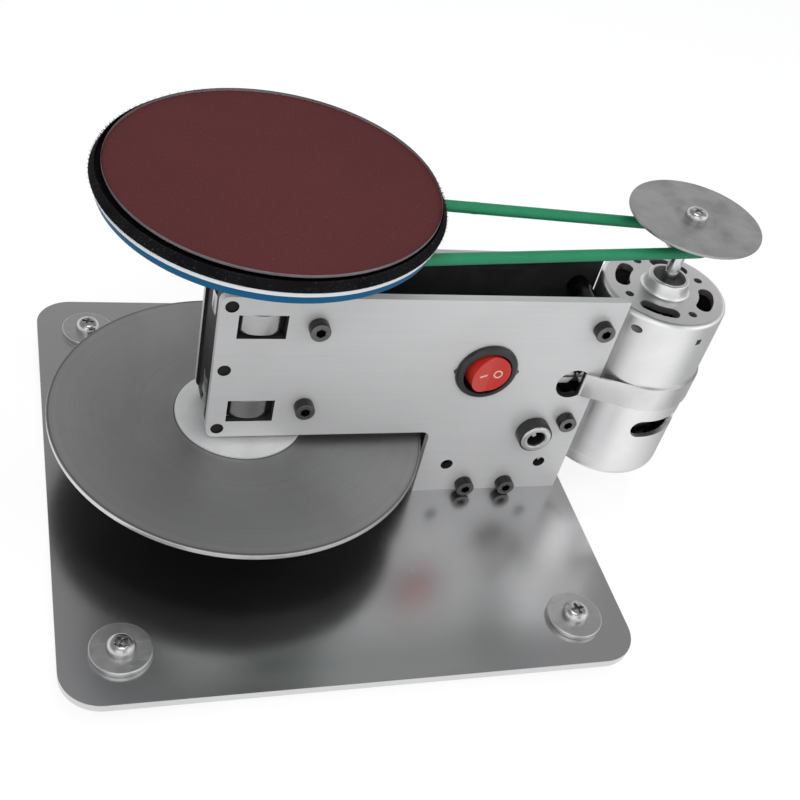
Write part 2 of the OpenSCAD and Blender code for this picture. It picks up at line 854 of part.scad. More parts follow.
module motor_armature() {
    color("dimgray") at_motor(core_z) difference() {
        ring(2 * core_r, motor_shaft_d + 2 * press, core_len);
        for (i = [0:core_slots - 1])
            rotate(i * 360 / core_slots) translate([core_r * 0.55, -core_slot_w / 2, -past])
                cube([core_r, core_slot_w, core_len + 2 * past]);
    }
}

module armature_windings() {
    color("chocolate") for (z = [core_z - winding_h, core_z + core_len])
        at_motor(z) ring(2 * (core_r - winding_inset), motor_shaft_d + 2 * winding_gap, winding_h);
}

module commutator() {
    color("peru") at_motor(commutator_z) ring(2 * commutator_r, motor_shaft_d + 2 * press, commutator_h);
}

// Motor: stator
module vent_arc(r_in, r_out, h, angle) {
    rotate(-angle / 2) rotate_extrude(angle = angle) translate([r_in, 0]) square([r_out - r_in, h]);
}

module motor_can() {
    low = motor_low_z + end_cap_h;
    wall_cut = can_wall + 2 * past;
    color("silver") at_motor(0) difference() {
        union() {
            translate([0, 0, low]) cylinder(d = motor_d, h = motor_top_z - low);
            translate([0, 0, motor_top_z]) cylinder(d1 = boss_d + boss_flare, d2 = boss_d, h = boss_h);
        }
        translate([0, 0, low - past]) cylinder(r = can_r, h = motor_top_z - front_wall - low + past);
        translate([0, 0, motor_top_z - front_wall - past])
            cylinder(d = bush_d, h = front_wall + boss_h + 2 * past);
        for (i = [0:3]) rotate(60 + i * 90) translate([0, 0, motor_top_z - front_wall - past]) {
            vent_arc(slot_in_r, slot_out_r, front_wall + 2 * past, slot_angle);
            for (a = [-slot_angle / 2, slot_angle / 2])
                rotate(a) translate([(slot_in_r + slot_out_r) / 2, 0, 0])
                    cylinder(d = slot_out_r - slot_in_r, h = front_wall + 2 * past);
            rotate(45) translate([front_hole_r, 0, 0])
                cylinder(d = front_hole_d, h = front_wall + 2 * past);
        }
        for (i = [0, 1]) rotate(-68 + i * 180) translate([0, 0, vent_z]) {
            vent_arc(can_r - past, motor_r + past, vent_h, vent_angle);
            for (a = [-vent_angle / 2, vent_angle / 2])
                rotate(a) translate([can_r - past, 0, vent_h / 2]) rotate([0, 90, 0])
                    cylinder(d = vent_h, h = can_wall + 2 * past);
        }
        translate([-motor_r - past, 0, lead_z]) rotate([0, 90, 0])
            cylinder(d = grommet_d + ease, h = wall_cut);
    }
}

module motor_end_cap() {
    edge_r = 4;
    spigot = 5;
    color("silver") at_motor(motor_low_z) difference() {
        union() {
            rotate_extrude() {
                square([motor_r - edge_r, end_cap_h]);
                translate([0, edge_r]) square([motor_r, end_cap_h - edge_r]);
                intersection() {
                    translate([motor_r - edge_r, edge_r]) circle(edge_r);
                    square([motor_r, end_cap_h]);
                }
            }
        }
        translate([0, 0, end_cap_h - spigot]) cylinder(r = can_r - 1, h = spigot + past);
        translate([0, 0, cap_floor]) cylinder(d = bush_d, h = end_cap_h);
    }
}

module motor_front_bush() {
    color("peru") at_motor(motor_top_z - front_wall)
        ring(bush_d - 2 * press, motor_shaft_d + 2 * run, front_wall + boss_h - bush_sink);
}

module motor_rear_bush() {
    color("peru") at_motor(motor_low_z + cap_floor)
        ring(bush_d - 2 * press, motor_shaft_d + 2 * run, rear_bush_h);
}

module motor_magnets() {
    color("dimgray") at_motor(magnet_z) for (a = [90, 270])
        rotate(a) vent_arc(can_r - magnet_t, can_r - press, magnet_len, 110);
}

// Each brush stands in its carbon holder's foot on the end cap's floor
module motor_brushes() {
    color("black") at_motor(0) for (side = [-1, 1])
        translate([side > 0 ? commutator_r + pass : -holder_r, -brush_w / 2, brush_foot_z])
            cube([holder_r - commutator_r - pass, brush_w, brush_h]);
}

module motor_grommet() {
    wall_cut = can_wall + 2 * past;
    color("black") at_motor(lead_z) difference() {
        intersection() {
            translate([-motor_r - past, 0, 0]) rotate([0, 90, 0]) cylinder(d = grommet_d, h = wall_cut);
            translate([0, 0, -grommet_d]) ring(2 * (motor_r + grommet_lip), 2 * can_r, 2 * grommet_d);
        }
        for (y = [-lead_spread, lead_spread])
            translate([-motor_r - past, y, 0]) rotate([0, 90, 0])
                cylinder(d = lead_d + 2 * run, h = wall_cut);
    }
}

// Clamp: a worm-drive band round the motor and through the side plates' round holes
corner_c = [cross_x + bend_r, cross_y - bend_r];
to_motor = [motor_x, 0] - corner_c;
band_angle = atan2(to_motor[1], to_motor[0]) + asin((band_r - bend_r) / norm(to_motor));
band_turn = band_angle + 90;

function half_band(side) = concat(
    [[cross_x, 0]],
    [for (q = arc(corner_c, bend_r, 180, band_turn, 6)) [q[0], side * q[1]]],
    [for (q = arc([motor_x, 0], band_r, band_turn, 0, 28)) [q[0], side * q[1]]]
);

function tail_path() = concat(
    [[cross_x - band_t - run, cross_y - 2 * bend_r - 1.5]],
    arc(corner_c, bend_r + band_t + run, 180, band_turn, 6),
    arc([motor_x, 0], tail_r, band_turn, tail_turn, 18),
    [for (a = [4:4:24]) [motor_x, 0] + (tail_r + tail_lift * a / 24)
        * [cos(tail_turn - a), sin(tail_turn - a)]]
);

module clamp_band() {
    color("lightgray") translate([0, mid_y, deck_z + clamp_z - band_w / 2]) linear_extrude(band_w) {
        strip(half_band(1), band_t);
        strip(half_band(-1), band_t);
        strip(tail_path(), band_t);
    }
}

module clamp_housing() {
    depth = worm_d + 2 * housing_wall;
    right = cross_x - band_t / 2 - run;
    color("silver") translate([0, mid_y, deck_z + clamp_z]) difference() {
        translate([right - depth - band_t, -worm_len / 2, -band_w / 2 - housing_wall])
            cube([depth, worm_len, band_w + 2 * housing_wall]);
        translate([worm_x, worm_len / 2 + past, 0]) rotate([90, 0, 0])
            cylinder(d = worm_d + 2 * run, h = worm_len + 2 * past);
    }
}

module clamp_worm() {
    color("gray") translate([worm_x, mid_y + worm_len / 2, deck_z + clamp_z])
        rotate([90, 0, 0]) difference() {
        union() {
            cylinder(d = worm_d, h = worm_len);
            translate([0, 0, worm_len]) cylinder(d = worm_head_d, h = worm_head_h, $fn = 6);
        }
        translate([-worm_head_d, -slot_w / 2, worm_len + worm_head_h - slot_depth])
            cube([2 * worm_head_d, slot_w, slot_depth + past]);
    }
}

// Rocker switch: the rocker turns about an upright pin and rests with its right half pressed in
module switch_housing() {
    color("black") on_front(switch_x, switch_z) difference() {
        union() {
            cylinder(d = bezel_d, h = bezel_t);
            translate([0, 0, -switch_depth]) cylinder(d = switch_d, h = switch_depth);
        }
        translate([0, 0, bezel_t - well_depth]) cylinder(d = well_d, h = well_depth + past);
        translate([0, 0, -pivot_in]) rotate([90, 0, 0])
            cylinder(d = pivot_d + 2 * run, h = well_d + 2 * pivot_seat + 2 * ease, center = true);
    }
}

module switch_rocker() {
    top = bezel_t + pivot_in;
    rise = 4;
    color("red") on_front(switch_x, switch_z) translate([0, 0, -pivot_in])
        rotate([0, rocker_tilt, 0]) union() {
        difference() {
            cylinder(r = rocker_r, h = top + rise);
            rotate([90, 0, 0]) linear_extrude(4 * rocker_r, center = true) polygon([
                [0, top], [2 * rocker_r, top + 2 * rocker_r * tan(rocker_tilt)],
                [2 * rocker_r, top + 2 * rise], [-2 * rocker_r, top + 2 * rise],
                [-2 * rocker_r, top + 2 * rocker_r * tan(rocker_tilt)]
            ]);
        }
        rotate([90, 0, 0]) cylinder(d = pivot_d, h = well_d + 2 * pivot_seat, center = true);
    }
}

module switch_terminals() {
    color("gold") translate([switch_x, mid_y - outer_y + switch_depth, deck_z + switch_z])
        for (side = [-1, 1])
            translate([side * blade_spread - blade[0] / 2, 0, -blade[2] / 2]) cube(blade);
}

// Power socket
module jack_body() {
    color("black") on_front(jack_x, jack_z) difference() {
        union() {
            cylinder(d = jack_d, h = collar_h);
            translate([0, 0, -barrel_len]) cylinder(d = barrel_d, h = barrel_len);
        }
        translate([0, 0, collar_h - jack_bore_len]) cylinder(d = jack_bore_d, h = jack_bore_len + past);
    }
}

module jack_nut() {
    color("silver") on_front(jack_x, jack_z) translate([0, 0, -plate_t - jack_nut_h])
        hex_nut(jack_nut_d * cos(30), barrel_d + 2 * run, jack_nut_h);
}

module jack_pin() {
    color("gold") on_front(jack_x, jack_z) translate([0, 0, collar_h - jack_bore_len])
        cylinder(d = jack_pin_d, h = jack_bore_len - jack_pin_sink);
}

module jack_lugs() {
    color("gold") translate([jack_x, mid_y - outer_y + barrel_len, deck_z + jack_z])
        for (side = [-1, 1])
            translate([side * lug_spread - lug[0] / 2, 0, -lug[2] / 2]) cube(lug);
}

// Leads between the socket, the switch and the motor
module power_lead() {
    color("red") lead(power_route);
}

module switch_lead() {
    color("red") lead(switch_route);
}

module return_lead() {
    color("black") lead(return_route);
}

base_plate();
rubber_feet();
corner_washers();
corner_screws();
foot_nuts();
foot_block();
block_screws();
front_plate();
rear_plate();
standoffs();
front_cap_screws();
rear_cap_screws();
foot_cap_screws();
bearing_carrier();
bearing_outer_races();
bearing_balls();
bearing_shields();
bearing_inner_races();
bearing_spacer();
spindle_shaft();
pulley_collar();
spindle_pulley();
pulley_set_screw();
backing_plate();
foam_layer();
hook_pad();
sanding_disc();
disc_spacer();
disc_flange();
lower_disc();
lower_flange();
spindle_nut();
drive_belt();
motor_pulley();
guard_disc();
guard_screw();
motor_shaft();
motor_can();
motor_end_cap();
motor_magnets();
motor_front_bush();
motor_rear_bush();
motor_armature();
armature_windings();
commutator();
motor_brushes();
motor_grommet();
clamp_band();
clamp_housing();
clamp_worm();
switch_housing();
switch_rocker();
switch_terminals();
jack_body();
jack_nut();
jack_pin();
jack_lugs();
power_lead();
switch_lead();
return_lead();
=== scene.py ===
import json
import math

import bmesh
import bpy
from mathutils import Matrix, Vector

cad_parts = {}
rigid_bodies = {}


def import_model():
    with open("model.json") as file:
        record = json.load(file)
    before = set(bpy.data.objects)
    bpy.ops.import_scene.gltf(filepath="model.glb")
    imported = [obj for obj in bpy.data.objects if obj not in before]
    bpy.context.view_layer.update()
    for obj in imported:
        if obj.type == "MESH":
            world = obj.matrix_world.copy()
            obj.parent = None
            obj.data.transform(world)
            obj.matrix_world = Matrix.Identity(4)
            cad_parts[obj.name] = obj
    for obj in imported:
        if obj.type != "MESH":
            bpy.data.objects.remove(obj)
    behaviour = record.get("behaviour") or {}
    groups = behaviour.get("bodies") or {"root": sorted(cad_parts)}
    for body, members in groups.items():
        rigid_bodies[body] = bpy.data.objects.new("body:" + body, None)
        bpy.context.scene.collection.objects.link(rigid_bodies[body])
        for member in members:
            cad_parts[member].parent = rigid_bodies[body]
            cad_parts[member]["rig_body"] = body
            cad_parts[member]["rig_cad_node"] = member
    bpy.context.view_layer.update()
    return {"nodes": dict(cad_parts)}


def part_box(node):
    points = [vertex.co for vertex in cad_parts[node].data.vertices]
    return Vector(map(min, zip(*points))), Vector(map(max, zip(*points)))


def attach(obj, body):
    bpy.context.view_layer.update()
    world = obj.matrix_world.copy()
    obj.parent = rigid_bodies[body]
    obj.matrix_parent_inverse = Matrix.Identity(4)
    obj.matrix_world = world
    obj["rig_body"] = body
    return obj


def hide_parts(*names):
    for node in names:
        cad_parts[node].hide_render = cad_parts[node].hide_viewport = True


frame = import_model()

# Camera: the sander is seen from above its front left corner. The lens is shifted up and a little
# to the right, as a cropped picture is.
bpy.ops.object.select_all(action="DESELECT")
bpy.ops.object.camera_add(
    location=(-0.12877, -0.29821, 0.31409),
    rotation=[math.radians(a) for a in (44.4185, -10.9044, -13.3906)],
)
camera = bpy.context.active_object
camera.data.lens = 50.961
camera.data.shift_x = 0.0356
camera.data.shift_y = 0.12
camera.data.clip_start = 0.01
bpy.context.scene.camera = camera
bpy.context.scene.view_settings.view_transform = "Standard"


# Studio: a pale floor and a white backdrop that goes grey overhead, and darker to the right in what
# metal mirrors, as by a black card there. Soft lamps stand over the front, the right and the middle;
# half of the light in front is kept out of what metal mirrors, as by a polariser.
def feed(tree, node, ins):
    """Gives a node's sockets values, or links other nodes and sockets to them."""
    for key, value in ins.items():
        if isinstance(value, bpy.types.Node):
            value = value.outputs[0]
        if isinstance(value, bpy.types.NodeSocket):
            tree.links.new(value, node.inputs[key])
        else:
            node.inputs[key].default_value = value
    return node


def put(tree, kind, ins=None, **props):
    """Adds a shader node with these settings and feeds its sockets."""
    node = tree.nodes.new("ShaderNode" + kind)
    for key, value in props.items():
        setattr(node, key, value)
    return feed(tree, node, ins or {})


def seen_directly(tree):
    """1 for what the camera, a mirror or a clear piece looks at, 0 for light that is scattered."""
    rays = put(tree, "LightPath")
    seen = put(tree, "Math", {0: rays.outputs["Is Camera Ray"], 1: rays.outputs["Is Glossy Ray"]},
               operation="MAXIMUM")
    return put(tree, "Math", {0: seen, 1: rays.outputs["Is Transmission Ray"]}, operation="MAXIMUM")


world = bpy.data.worlds.new("Studio")
bpy.context.scene.world = world
world.use_nodes = True
sky = world.node_tree
sky.nodes.clear()
way_up = put(sky, "SeparateXYZ", {0: put(sky, "TexCoord").outputs["Generated"]})
height = put(sky, "MapRange", {"Value": way_up.outputs["Z"], "From Min": 0.36, "From Max": 0.56})
backdrop = put(sky, "Mix", {0: height, 6: (1, 1, 1, 1), 7: (0.29, 0.29, 0.295, 1)}, data_type="RGBA")
far = put(sky, "Background", {"Color": backdrop.outputs[2], "Strength": 1.0})
fill = put(sky, "Background", {"Color": (0.96, 0.98, 1, 1), "Strength": 0.45})
both = put(sky, "MixShader", {0: seen_directly(sky), 1: fill, 2: far})
put(sky, "OutputWorld", {"Surface": both})

aim = Vector((0, 0, 0.06))
for name, stand, size, power, mirrored in (
    ("key_lamp", (-0.42, -1.05, 1.15), 1.2, 5.5, False),
    ("front_lamp", (-0.40, -1.00, 1.10), 1.2, 4.5, True),
    ("side_lamp", (0.95, -0.55, 0.9), 1.1, 3.0, True),
    ("top_lamp", (0.05, 0.10, 1.5), 0.5, 3.0, True),
):
    bpy.ops.object.light_add(
        type="AREA", location=stand,
        rotation=(aim - Vector(stand)).to_track_quat("-Z", "Y").to_euler(),
    )
    lamp = bpy.context.active_object
    lamp.name = name
    lamp.data.size = size
    lamp.data.energy = power
    lamp.visible_glossy = mirrored

bpy.ops.mesh.primitive_plane_add(size=8, location=(0, 0, 0))
floor = bpy.context.active_object
floor.name = "studio_floor"
pale = bpy.data.materials.new("Studio floor")
pale.use_nodes = True
tree = pale.node_tree
tree.nodes.clear()
seen = seen_directly(tree)
albedo = put(tree, "Mix", {0: seen, 6: (0.8, 0.8, 0.8, 1), 7: (0.3, 0.3, 0.3, 1)}, data_type="RGBA")
matt = put(tree, "BsdfDiffuse", {"Color": albedo.outputs[2]})
place = put(tree, "SeparateXYZ", {0: put(tree, "TexCoord").outputs["Object"]})
aside = put(tree, "Math", {0: place.outputs["X"], 1: place.outputs["Y"]}, operation="ADD")
card = put(tree, "MapRange", {"Value": aside, "From Min": 0.05, "From Max": 0.16, "To Max": 0.7})
mirrored = put(tree, "Math", {0: card, 1: put(tree, "LightPath").outputs["Is Glossy Ray"]},
               operation="MULTIPLY")
lift = put(tree, "Math", {0: seen, 1: mirrored}, operation="SUBTRACT", use_clamp=True)
glow = put(tree, "Emission", {"Color": (0.77, 0.77, 0.77, 1), "Strength": lift})
put(tree, "OutputMaterial", {"Surface": put(tree, "AddShader", {0: matt, 1: glow})})
floor.data.materials.append(pale)

# Base plate: a 3 mm stainless sheet with round corners, ground along its length to a dull mirror.
# It carries everything, and handling has left faint smudges on it.
MM = 0.001


def only(*pieces):
    """Selects these objects and nothing else."""
    if bpy.context.mode != "OBJECT":
        bpy.ops.object.mode_set(mode="OBJECT")
    bpy.ops.object.select_all(action="DESELECT")
    for piece in pieces:
        piece.select_set(True)
    bpy.context.view_layer.objects.active = pieces[0]


def applied(piece, kind, **settings):
    """Adds a modifier to a piece and applies it."""
    only(piece)
    step = piece.modifiers.new(kind.title(), kind)
    for key, value in settings.items():
        setattr(step, key, value)
    bpy.ops.object.modifier_apply(modifier=step.name)


def broken(piece, width, sharp, rounds=2):
    """Rounds off the edges of a piece that turn by more than an angle; width in millimetres."""
    applied(piece, "BEVEL", width=width * MM, segments=rounds, limit_method="ANGLE",
            angle_limit=math.radians(sharp))


def choose(piece, kind, test):
    """In edit mode, selects the vertices, edges or faces of a piece that pass a test."""
    bpy.ops.mesh.select_mode(type=kind)
    bpy.ops.mesh.select_all(action="DESELECT")
    mesh = bmesh.from_edit_mesh(piece.data)
    for part in {"VERT": mesh.verts, "EDGE": mesh.edges, "FACE": mesh.faces}[kind]:
        if test(part):
            part.select_set(True)
    mesh.select_flush_mode()
    bmesh.update_edit_mesh(piece.data)


def fitted(piece, body, slot, finish, *nodes):
    """Gives a finished piece its material and its body, and hides the nodes it stands for; slot is not
    used.
    """
    piece.data.materials.clear()
    piece.data.materials.append(finish)
    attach(piece, body)
    if nodes:
        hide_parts(*nodes)
    return piece


def whole_copy(node):
    """A copy of a CAD node with its loose triangles joined into whole faces, left in edit mode."""
    only(frame["nodes"][node])
    bpy.ops.object.duplicate()
    piece = bpy.context.active_object
    piece.name = piece.data.name = node + "_finish"
    del piece["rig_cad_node"]
    bpy.ops.object.mode_set(mode="EDIT")
    bpy.ops.mesh.select_all(action="SELECT")
    bpy.ops.mesh.remove_doubles(threshold=0.004 * MM)
    bpy.ops.mesh.dissolve_limited(angle_limit=math.radians(0.3))
    return piece


def smoothed(piece, sharp):
    """Shades rounded edges smooth and keeps the broad faces between them flat."""
    only(piece)
    bpy.ops.object.shade_smooth_by_angle(angle=math.radians(sharp))
    applied(piece, "WEIGHTED_NORMAL", mode="FACE_AREA", weight=50, keep_sharp=True)


def softened(node, edge, finish, slot, rounds=2, sharp=30):
    """A CAD node's shape with its sharp edges broken, as the real piece's are."""
    piece = whole_copy(node)
    bpy.ops.object.mode_set(mode="OBJECT")
    broken(piece, edge, sharp, rounds)
    smoothed(piece, sharp)
    return fitted(piece, piece["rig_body"], slot, finish, node)


def shader_group(name, inputs, outputs):
    """An empty shader node group with these sockets, and its input and output nodes."""
    tree = bpy.data.node_groups.new(name, "ShaderNodeTree")
    for label, kind, value in inputs:
        tree.interface.new_socket(label, in_out="INPUT", socket_type=kind).default_value = value
    for label in outputs:
        tree.interface.new_socket(label, in_out="OUTPUT", socket_type="NodeSocketFloat")
    return tree, tree.nodes.new("NodeGroupInput"), tree.nodes.new("NodeGroupOutput")


brushing, given, result = shader_group(
    "Brushing", [("Stretch", "NodeSocketVector", (1, 1, 1))], ["Streak"])
run = put(brushing, "VectorMath", {0: put(brushing, "TexCoord").outputs["Object"],
                                   1: given.outputs["Stretch"]}, operation="MULTIPLY")
hair = put(brushing, "TexNoise", {"Vector": run, "Scale": 1.0, "Detail": 5.0, "Roughness": 0.65})
feed(brushing, result, {"Streak": hair})

handling, given, result = shader_group(
    "Handling marks", [("Size", "NodeSocketFloat", 25.0)], ["Smudge", "Scratch", "Speck"])
spot = put(handling, "TexCoord").outputs["Object"]
cloud = put(handling, "TexNoise", {"Vector": spot, "Scale": given.outputs["Size"], "Detail": 4.0,
                                   "Roughness": 0.6, "Distortion": 0.8})
smear = put(handling, "MapRange", {"Value": cloud, "From Min": 0.42, "From Max": 0.72})
slant = put(handling, "Mapping", {"Vector": spot, "Rotation": (0.3, 0.5, 0.7),
                                  "Scale": (28, 2300, 1700)})
thread = put(handling, "TexNoise", {"Vector": slant, "Scale": 1.0, "Detail": 1.0})
nick = put(handling, "MapRange", {"Value": thread, "From Min": 0.70, "From Max": 0.76})
dots = put(handling, "TexNoise", {"Vector": spot, "Scale": 1500.0, "Detail": 1.0})
grit = put(handling, "MapRange", {"Value": dots, "From Min": 0.68, "From Max": 0.78})
feed(handling, result, {"Smudge": smear, "Scratch": nick, "Speck": grit})

edge_wear, given, result = shader_group(
    "Worn edges", [("Patchiness", "NodeSocketFloat", 120.0)], ["Wear"])
ridge = put(edge_wear, "MapRange", {"Value": put(edge_wear, "NewGeometry").outputs["Pointiness"],
                                    "From Min": 0.51, "From Max": 0.60})
patch = put(edge_wear, "TexNoise", {"Vector": put(edge_wear, "TexCoord").outputs["Object"],
                                    "Scale": given.outputs["Patchiness"], "Detail": 3.0})
rubbed = put(edge_wear, "MapRange", {"Value": patch, "From Min": 0.35, "From Max": 0.6})
worn = put(edge_wear, "Math", {0: ridge, 1: rubbed}, operation="MULTIPLY")
feed(edge_wear, result, {"Wear": worn})


def toned(tree, start, *terms):
    """start plus each (socket, share, middle): how far a mask lies from its middle, times share."""
    total = start
    for source, share, middle in terms:
        off = put(tree, "Math", {0: source, 1: middle}, operation="SUBTRACT")
        total = put(tree, "Math", {0: off, 1: share, 2: total}, operation="MULTIPLY_ADD")
    return total


def blank_finish(name):
    """A new material with its node tree and its Principled node."""
    mat = bpy.data.materials.new(name)
    mat.use_nodes = True
    return mat, mat.node_tree, mat.node_tree.nodes["Principled BSDF"]


def metal_finish(name, shade, rough, lay, streak=0.25, smudge=0.18, relief=0.25, size=25.0, wear=0.5,
                 scratch=0.25, speck=0.15, marks=None, metal=1.0):
    """Bare metal. lay is a group and its inputs: brushing or turning marks; marks adds tone terms."""
    mat, tree, skin = blank_finish(name)
    lines = put(tree, "Group", lay[1], node_tree=lay[0]).outputs[0]
    hand = put(tree, "Group", {"Size": size}, node_tree=handling)
    rub = put(tree, "Group", node_tree=edge_wear)
    value = toned(tree, 1.0, (lines, streak, 0.5), (hand.outputs["Smudge"], -smudge, 0.3),
                  (hand.outputs["Scratch"], scratch, 0.0), (hand.outputs["Speck"], -speck, 0.0),
                  *(marks(tree) if marks else ()))
    colour = put(tree, "HueSaturation", {"Value": value, "Color": (*shade, 1)})
    bright = [min(1.0, c * 1.25 + 0.08) for c in shade]
    share = put(tree, "Math", {0: rub.outputs["Wear"], 1: wear}, operation="MULTIPLY")
    final = put(tree, "Mix", {0: share, 6: colour, 7: (*bright, 1)}, data_type="RGBA")
    dull = toned(tree, rough, (lines, 0.5 * streak, 0.5), (hand.outputs["Smudge"], 0.7 * smudge, 0.3),
                 (hand.outputs["Scratch"], 0.4 * scratch, 0.0), (rub.outputs["Wear"], -0.2 * wear, 0.0))
    depth = toned(tree, 0.0, (lines, 0.6, 0.5), (hand.outputs["Scratch"], -scratch, 0.0))
    bump = put(tree, "Bump", {"Strength": relief, "Distance": 0.05 * MM, "Height": depth})
    feed(tree, skin, {"Base Color": final.outputs[2], "Roughness": dull, "Normal": bump,
                      "Metallic": metal})
    return mat


base_steel = metal_finish("Ground stainless", (0.62, 0.62, 0.625), 0.25,
                          (brushing, {"Stretch": (14, 1500, 1500)}), streak=0.07, smudge=0.06,
                          relief=0.06, size=16.0, wear=0.0, scratch=0.0, speck=0.03)
softened("base_plate", 0.35, base_steel, "base_steel")


# Rubber feet: moulded black cones with a pocket for the nut, one under each corner of the base.
# Their skin is matt, with pale dust where they have stood on a bench.
def moulded_finish(name, colour, rough, grain=900.0, relief=0.2, tint=0.15, dust=0.1, size=40.0,
                   shine=0.5):
    """A moulded skin: plastic or rubber with a fine grain, a cloudy tone, and dust or rubbed edges."""
    mat, tree, skin = blank_finish(name)
    spot = put(tree, "TexCoord").outputs["Object"]
    fine = put(tree, "TexNoise", {"Vector": spot, "Scale": grain, "Detail": 3.0, "Roughness": 0.6})
    hand = put(tree, "Group", {"Size": size}, node_tree=handling)
    rub = put(tree, "Group", node_tree=edge_wear)
    value = toned(tree, 1.0, (hand.outputs["Smudge"], tint, 0.35), (fine, tint, 0.5))
    tone = put(tree, "HueSaturation", {"Value": value, "Color": (*colour, 1)})
    pale = [min(1.0, c * 0.7 + 0.2) for c in colour]
    veil = toned(tree, 0.0, (hand.outputs["Speck"], dust, 0.0), (rub.outputs["Wear"], dust, 0.0),
                 (hand.outputs["Scratch"], dust, 0.0))
    final = put(tree, "Mix", {0: veil, 6: tone, 7: (*pale, 1)}, data_type="RGBA")
    dull = toned(tree, rough, (hand.outputs["Smudge"], 0.15, 0.3), (fine, 0.1, 0.5))
    bump = put(tree, "Bump", {"Strength": relief, "Distance": 0.08 * MM, "Height": fine})
    feed(tree, skin, {"Base Color": final.outputs[2], "Roughness": dull, "Normal": bump,
                      "Specular IOR Level": shine})
    return mat


rubber = moulded_finish("Foot rubber", (0.02, 0.02, 0.022), 0.7, grain=1400.0, dust=0.25)
softened("rubber_feet", 0.6, rubber, "rubber_black", rounds=3)

# Corner washers and nuts: zinc-plated steel pressings under the heads of the corner screws, and
# the hexagon nuts that pull up into the feet.
zinc = metal_finish("Zinc plate", (0.55, 0.55, 0.55), 0.36, (brushing, {"Stretch": (300, 300, 300)}),
                    streak=0.2, relief=0.2, size=90.0)
softened("corner_washers", 0.45, zinc, "bright_steel", rounds=3)
softened("foot_nuts", 0.3, zinc, "bright_steel")


# Corner screws: bright pan-head machine screws, forged with a domed head and a cross recess.
# Each goes through its washer, the base plate and a foot.
def edit(piece):
    """Opens a piece alone in edit mode."""
    only(piece)
    bpy.ops.object.mode_set(mode="EDIT")


def begun(add, **settings):
    """A new primitive, alone in the selection, with its place, turn and scale taken into its mesh."""
    bpy.ops.object.select_all(action="DESELECT")
    add(**settings)
    bpy.ops.object.transform_apply()
    return bpy.context.active_object


def cut_out(piece, *cutters):
    """Cuts other solids out of a piece and removes them."""
    for tool in cutters:
        applied(piece, "BOOLEAN", operation="DIFFERENCE", object=tool, solver="EXACT")
        bpy.data.objects.remove(tool)


def on_shank(piece, head_r, shank_r, reach):
    """Draws a shank with a chamfered end out of the under side of a screw head on z = 0."""
    choose(piece, "FACE", lambda f: f.normal.z < -0.9)
    bpy.ops.mesh.inset(thickness=head_r - shank_r)
    bpy.ops.mesh.extrude_region_move(TRANSFORM_OT_translate={"value": (0, 0, -reach + 0.5 * MM)})
    bpy.ops.mesh.extrude_region_move(TRANSFORM_OT_translate={"value": (0, 0, -0.5 * MM)})
    bpy.ops.transform.resize(value=(0.8, 0.8, 1), center_override=(0, 0, -reach))


def pan_screw(shank_d, head_d, head_h, reach):
    """A pan-head screw standing on z = 0, sizes in metres."""
    dome_h, recess_l, recess_w, recess_end = head_h * 0.72, head_d * 0.62, head_d * 0.16, 0.6
    screw = begun(bpy.ops.mesh.primitive_cylinder_add, vertices=40, radius=head_d / 2, depth=head_h,
                  location=(0, 0, head_h / 2))
    edit(screw)
    choose(screw, "EDGE", lambda e: all(v.co.z > head_h * 0.99 for v in e.verts)
           and len(e.link_faces) == 2 and abs(e.calc_face_angle(0)) > 1)
    bpy.ops.mesh.bevel(offset=dome_h, segments=5, profile=0.5)
    on_shank(screw, head_d / 2, shank_d / 2, reach)
    bpy.ops.object.mode_set(mode="OBJECT")
    for turn in (0, math.pi / 2):
        bar = begun(bpy.ops.mesh.primitive_cube_add, size=1, location=(0, 0, head_h),
                    rotation=(0, 0, turn), scale=(recess_l, recess_w, head_h * 1.1))
        edit(bar)
        choose(bar, "FACE", lambda f: f.normal.z < -0.9)
        bpy.ops.transform.resize(value=(recess_end, recess_end, 1),
                                 center_override=(0, 0, head_h * 0.45))
        bpy.ops.object.mode_set(mode="OBJECT")
        cut_out(screw, bar)
    broken(screw, 0.08, 40)
    return screw


def solids_of(node):
    """The box of each separate solid in a CAD node, as its lowest and highest corners."""
    mesh = bmesh.new()
    mesh.from_mesh(frame["nodes"][node].data)
    bmesh.ops.remove_doubles(mesh, verts=mesh.verts, dist=0.004 * MM)
    left, boxes = set(mesh.verts), []
    while left:
        ends, found = [left.pop()], []
        while ends:
            here = ends.pop()
            found.append(here.co.copy())
            for edge in here.link_edges:
                there = edge.other_vert(here)
                if there in left:
                    left.remove(there)
                    ends.append(there)
        boxes.append([Vector(pick(p[i] for p in found) for i in range(3)) for pick in (min, max)])
    mesh.free()
    return sorted(boxes, key=lambda b: tuple(round(v, 6) for v in b[0]))


def set_in(master, spots, name):
    """Copies of a master piece, each turned and put in its place, as one object."""
    copies = []
    for place, turn in spots:
        only(master)
        bpy.ops.object.duplicate()
        copy = bpy.context.active_object
        copy.location, copy.rotation_euler = place, turn
        only(copy)
        bpy.ops.object.transform_apply()
        copies.append(copy)
    only(*copies)
    if len(copies) > 1:
        bpy.ops.object.join()
    copies[0].name = copies[0].data.name = name
    smoothed(copies[0], 35)
    return copies[0]


bright_steel = metal_finish("Bright steel", (0.54, 0.54, 0.54), 0.28,
                            (brushing, {"Stretch": (400, 400, 400)}), streak=0.2, size=120.0)
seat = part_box("corner_washers")[1].z
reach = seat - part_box("corner_screws")[0].z
screw = pan_screw(5 * MM, 9.5 * MM, 3.5 * MM, reach)
corners = [((lo + hi) / 2).to_2d() for lo, hi in solids_of("corner_screws")]
turns = (0.5, 1.3, 0.2, 0.9)
screws = set_in(screw, [((c.x, c.y, seat), (0, 0, t)) for c, t in zip(corners, turns)],
                "corner_screws_finish")
bpy.data.objects.remove(screw)
fitted(screws, "frame", "bright_steel", bright_steel, "corner_screws")

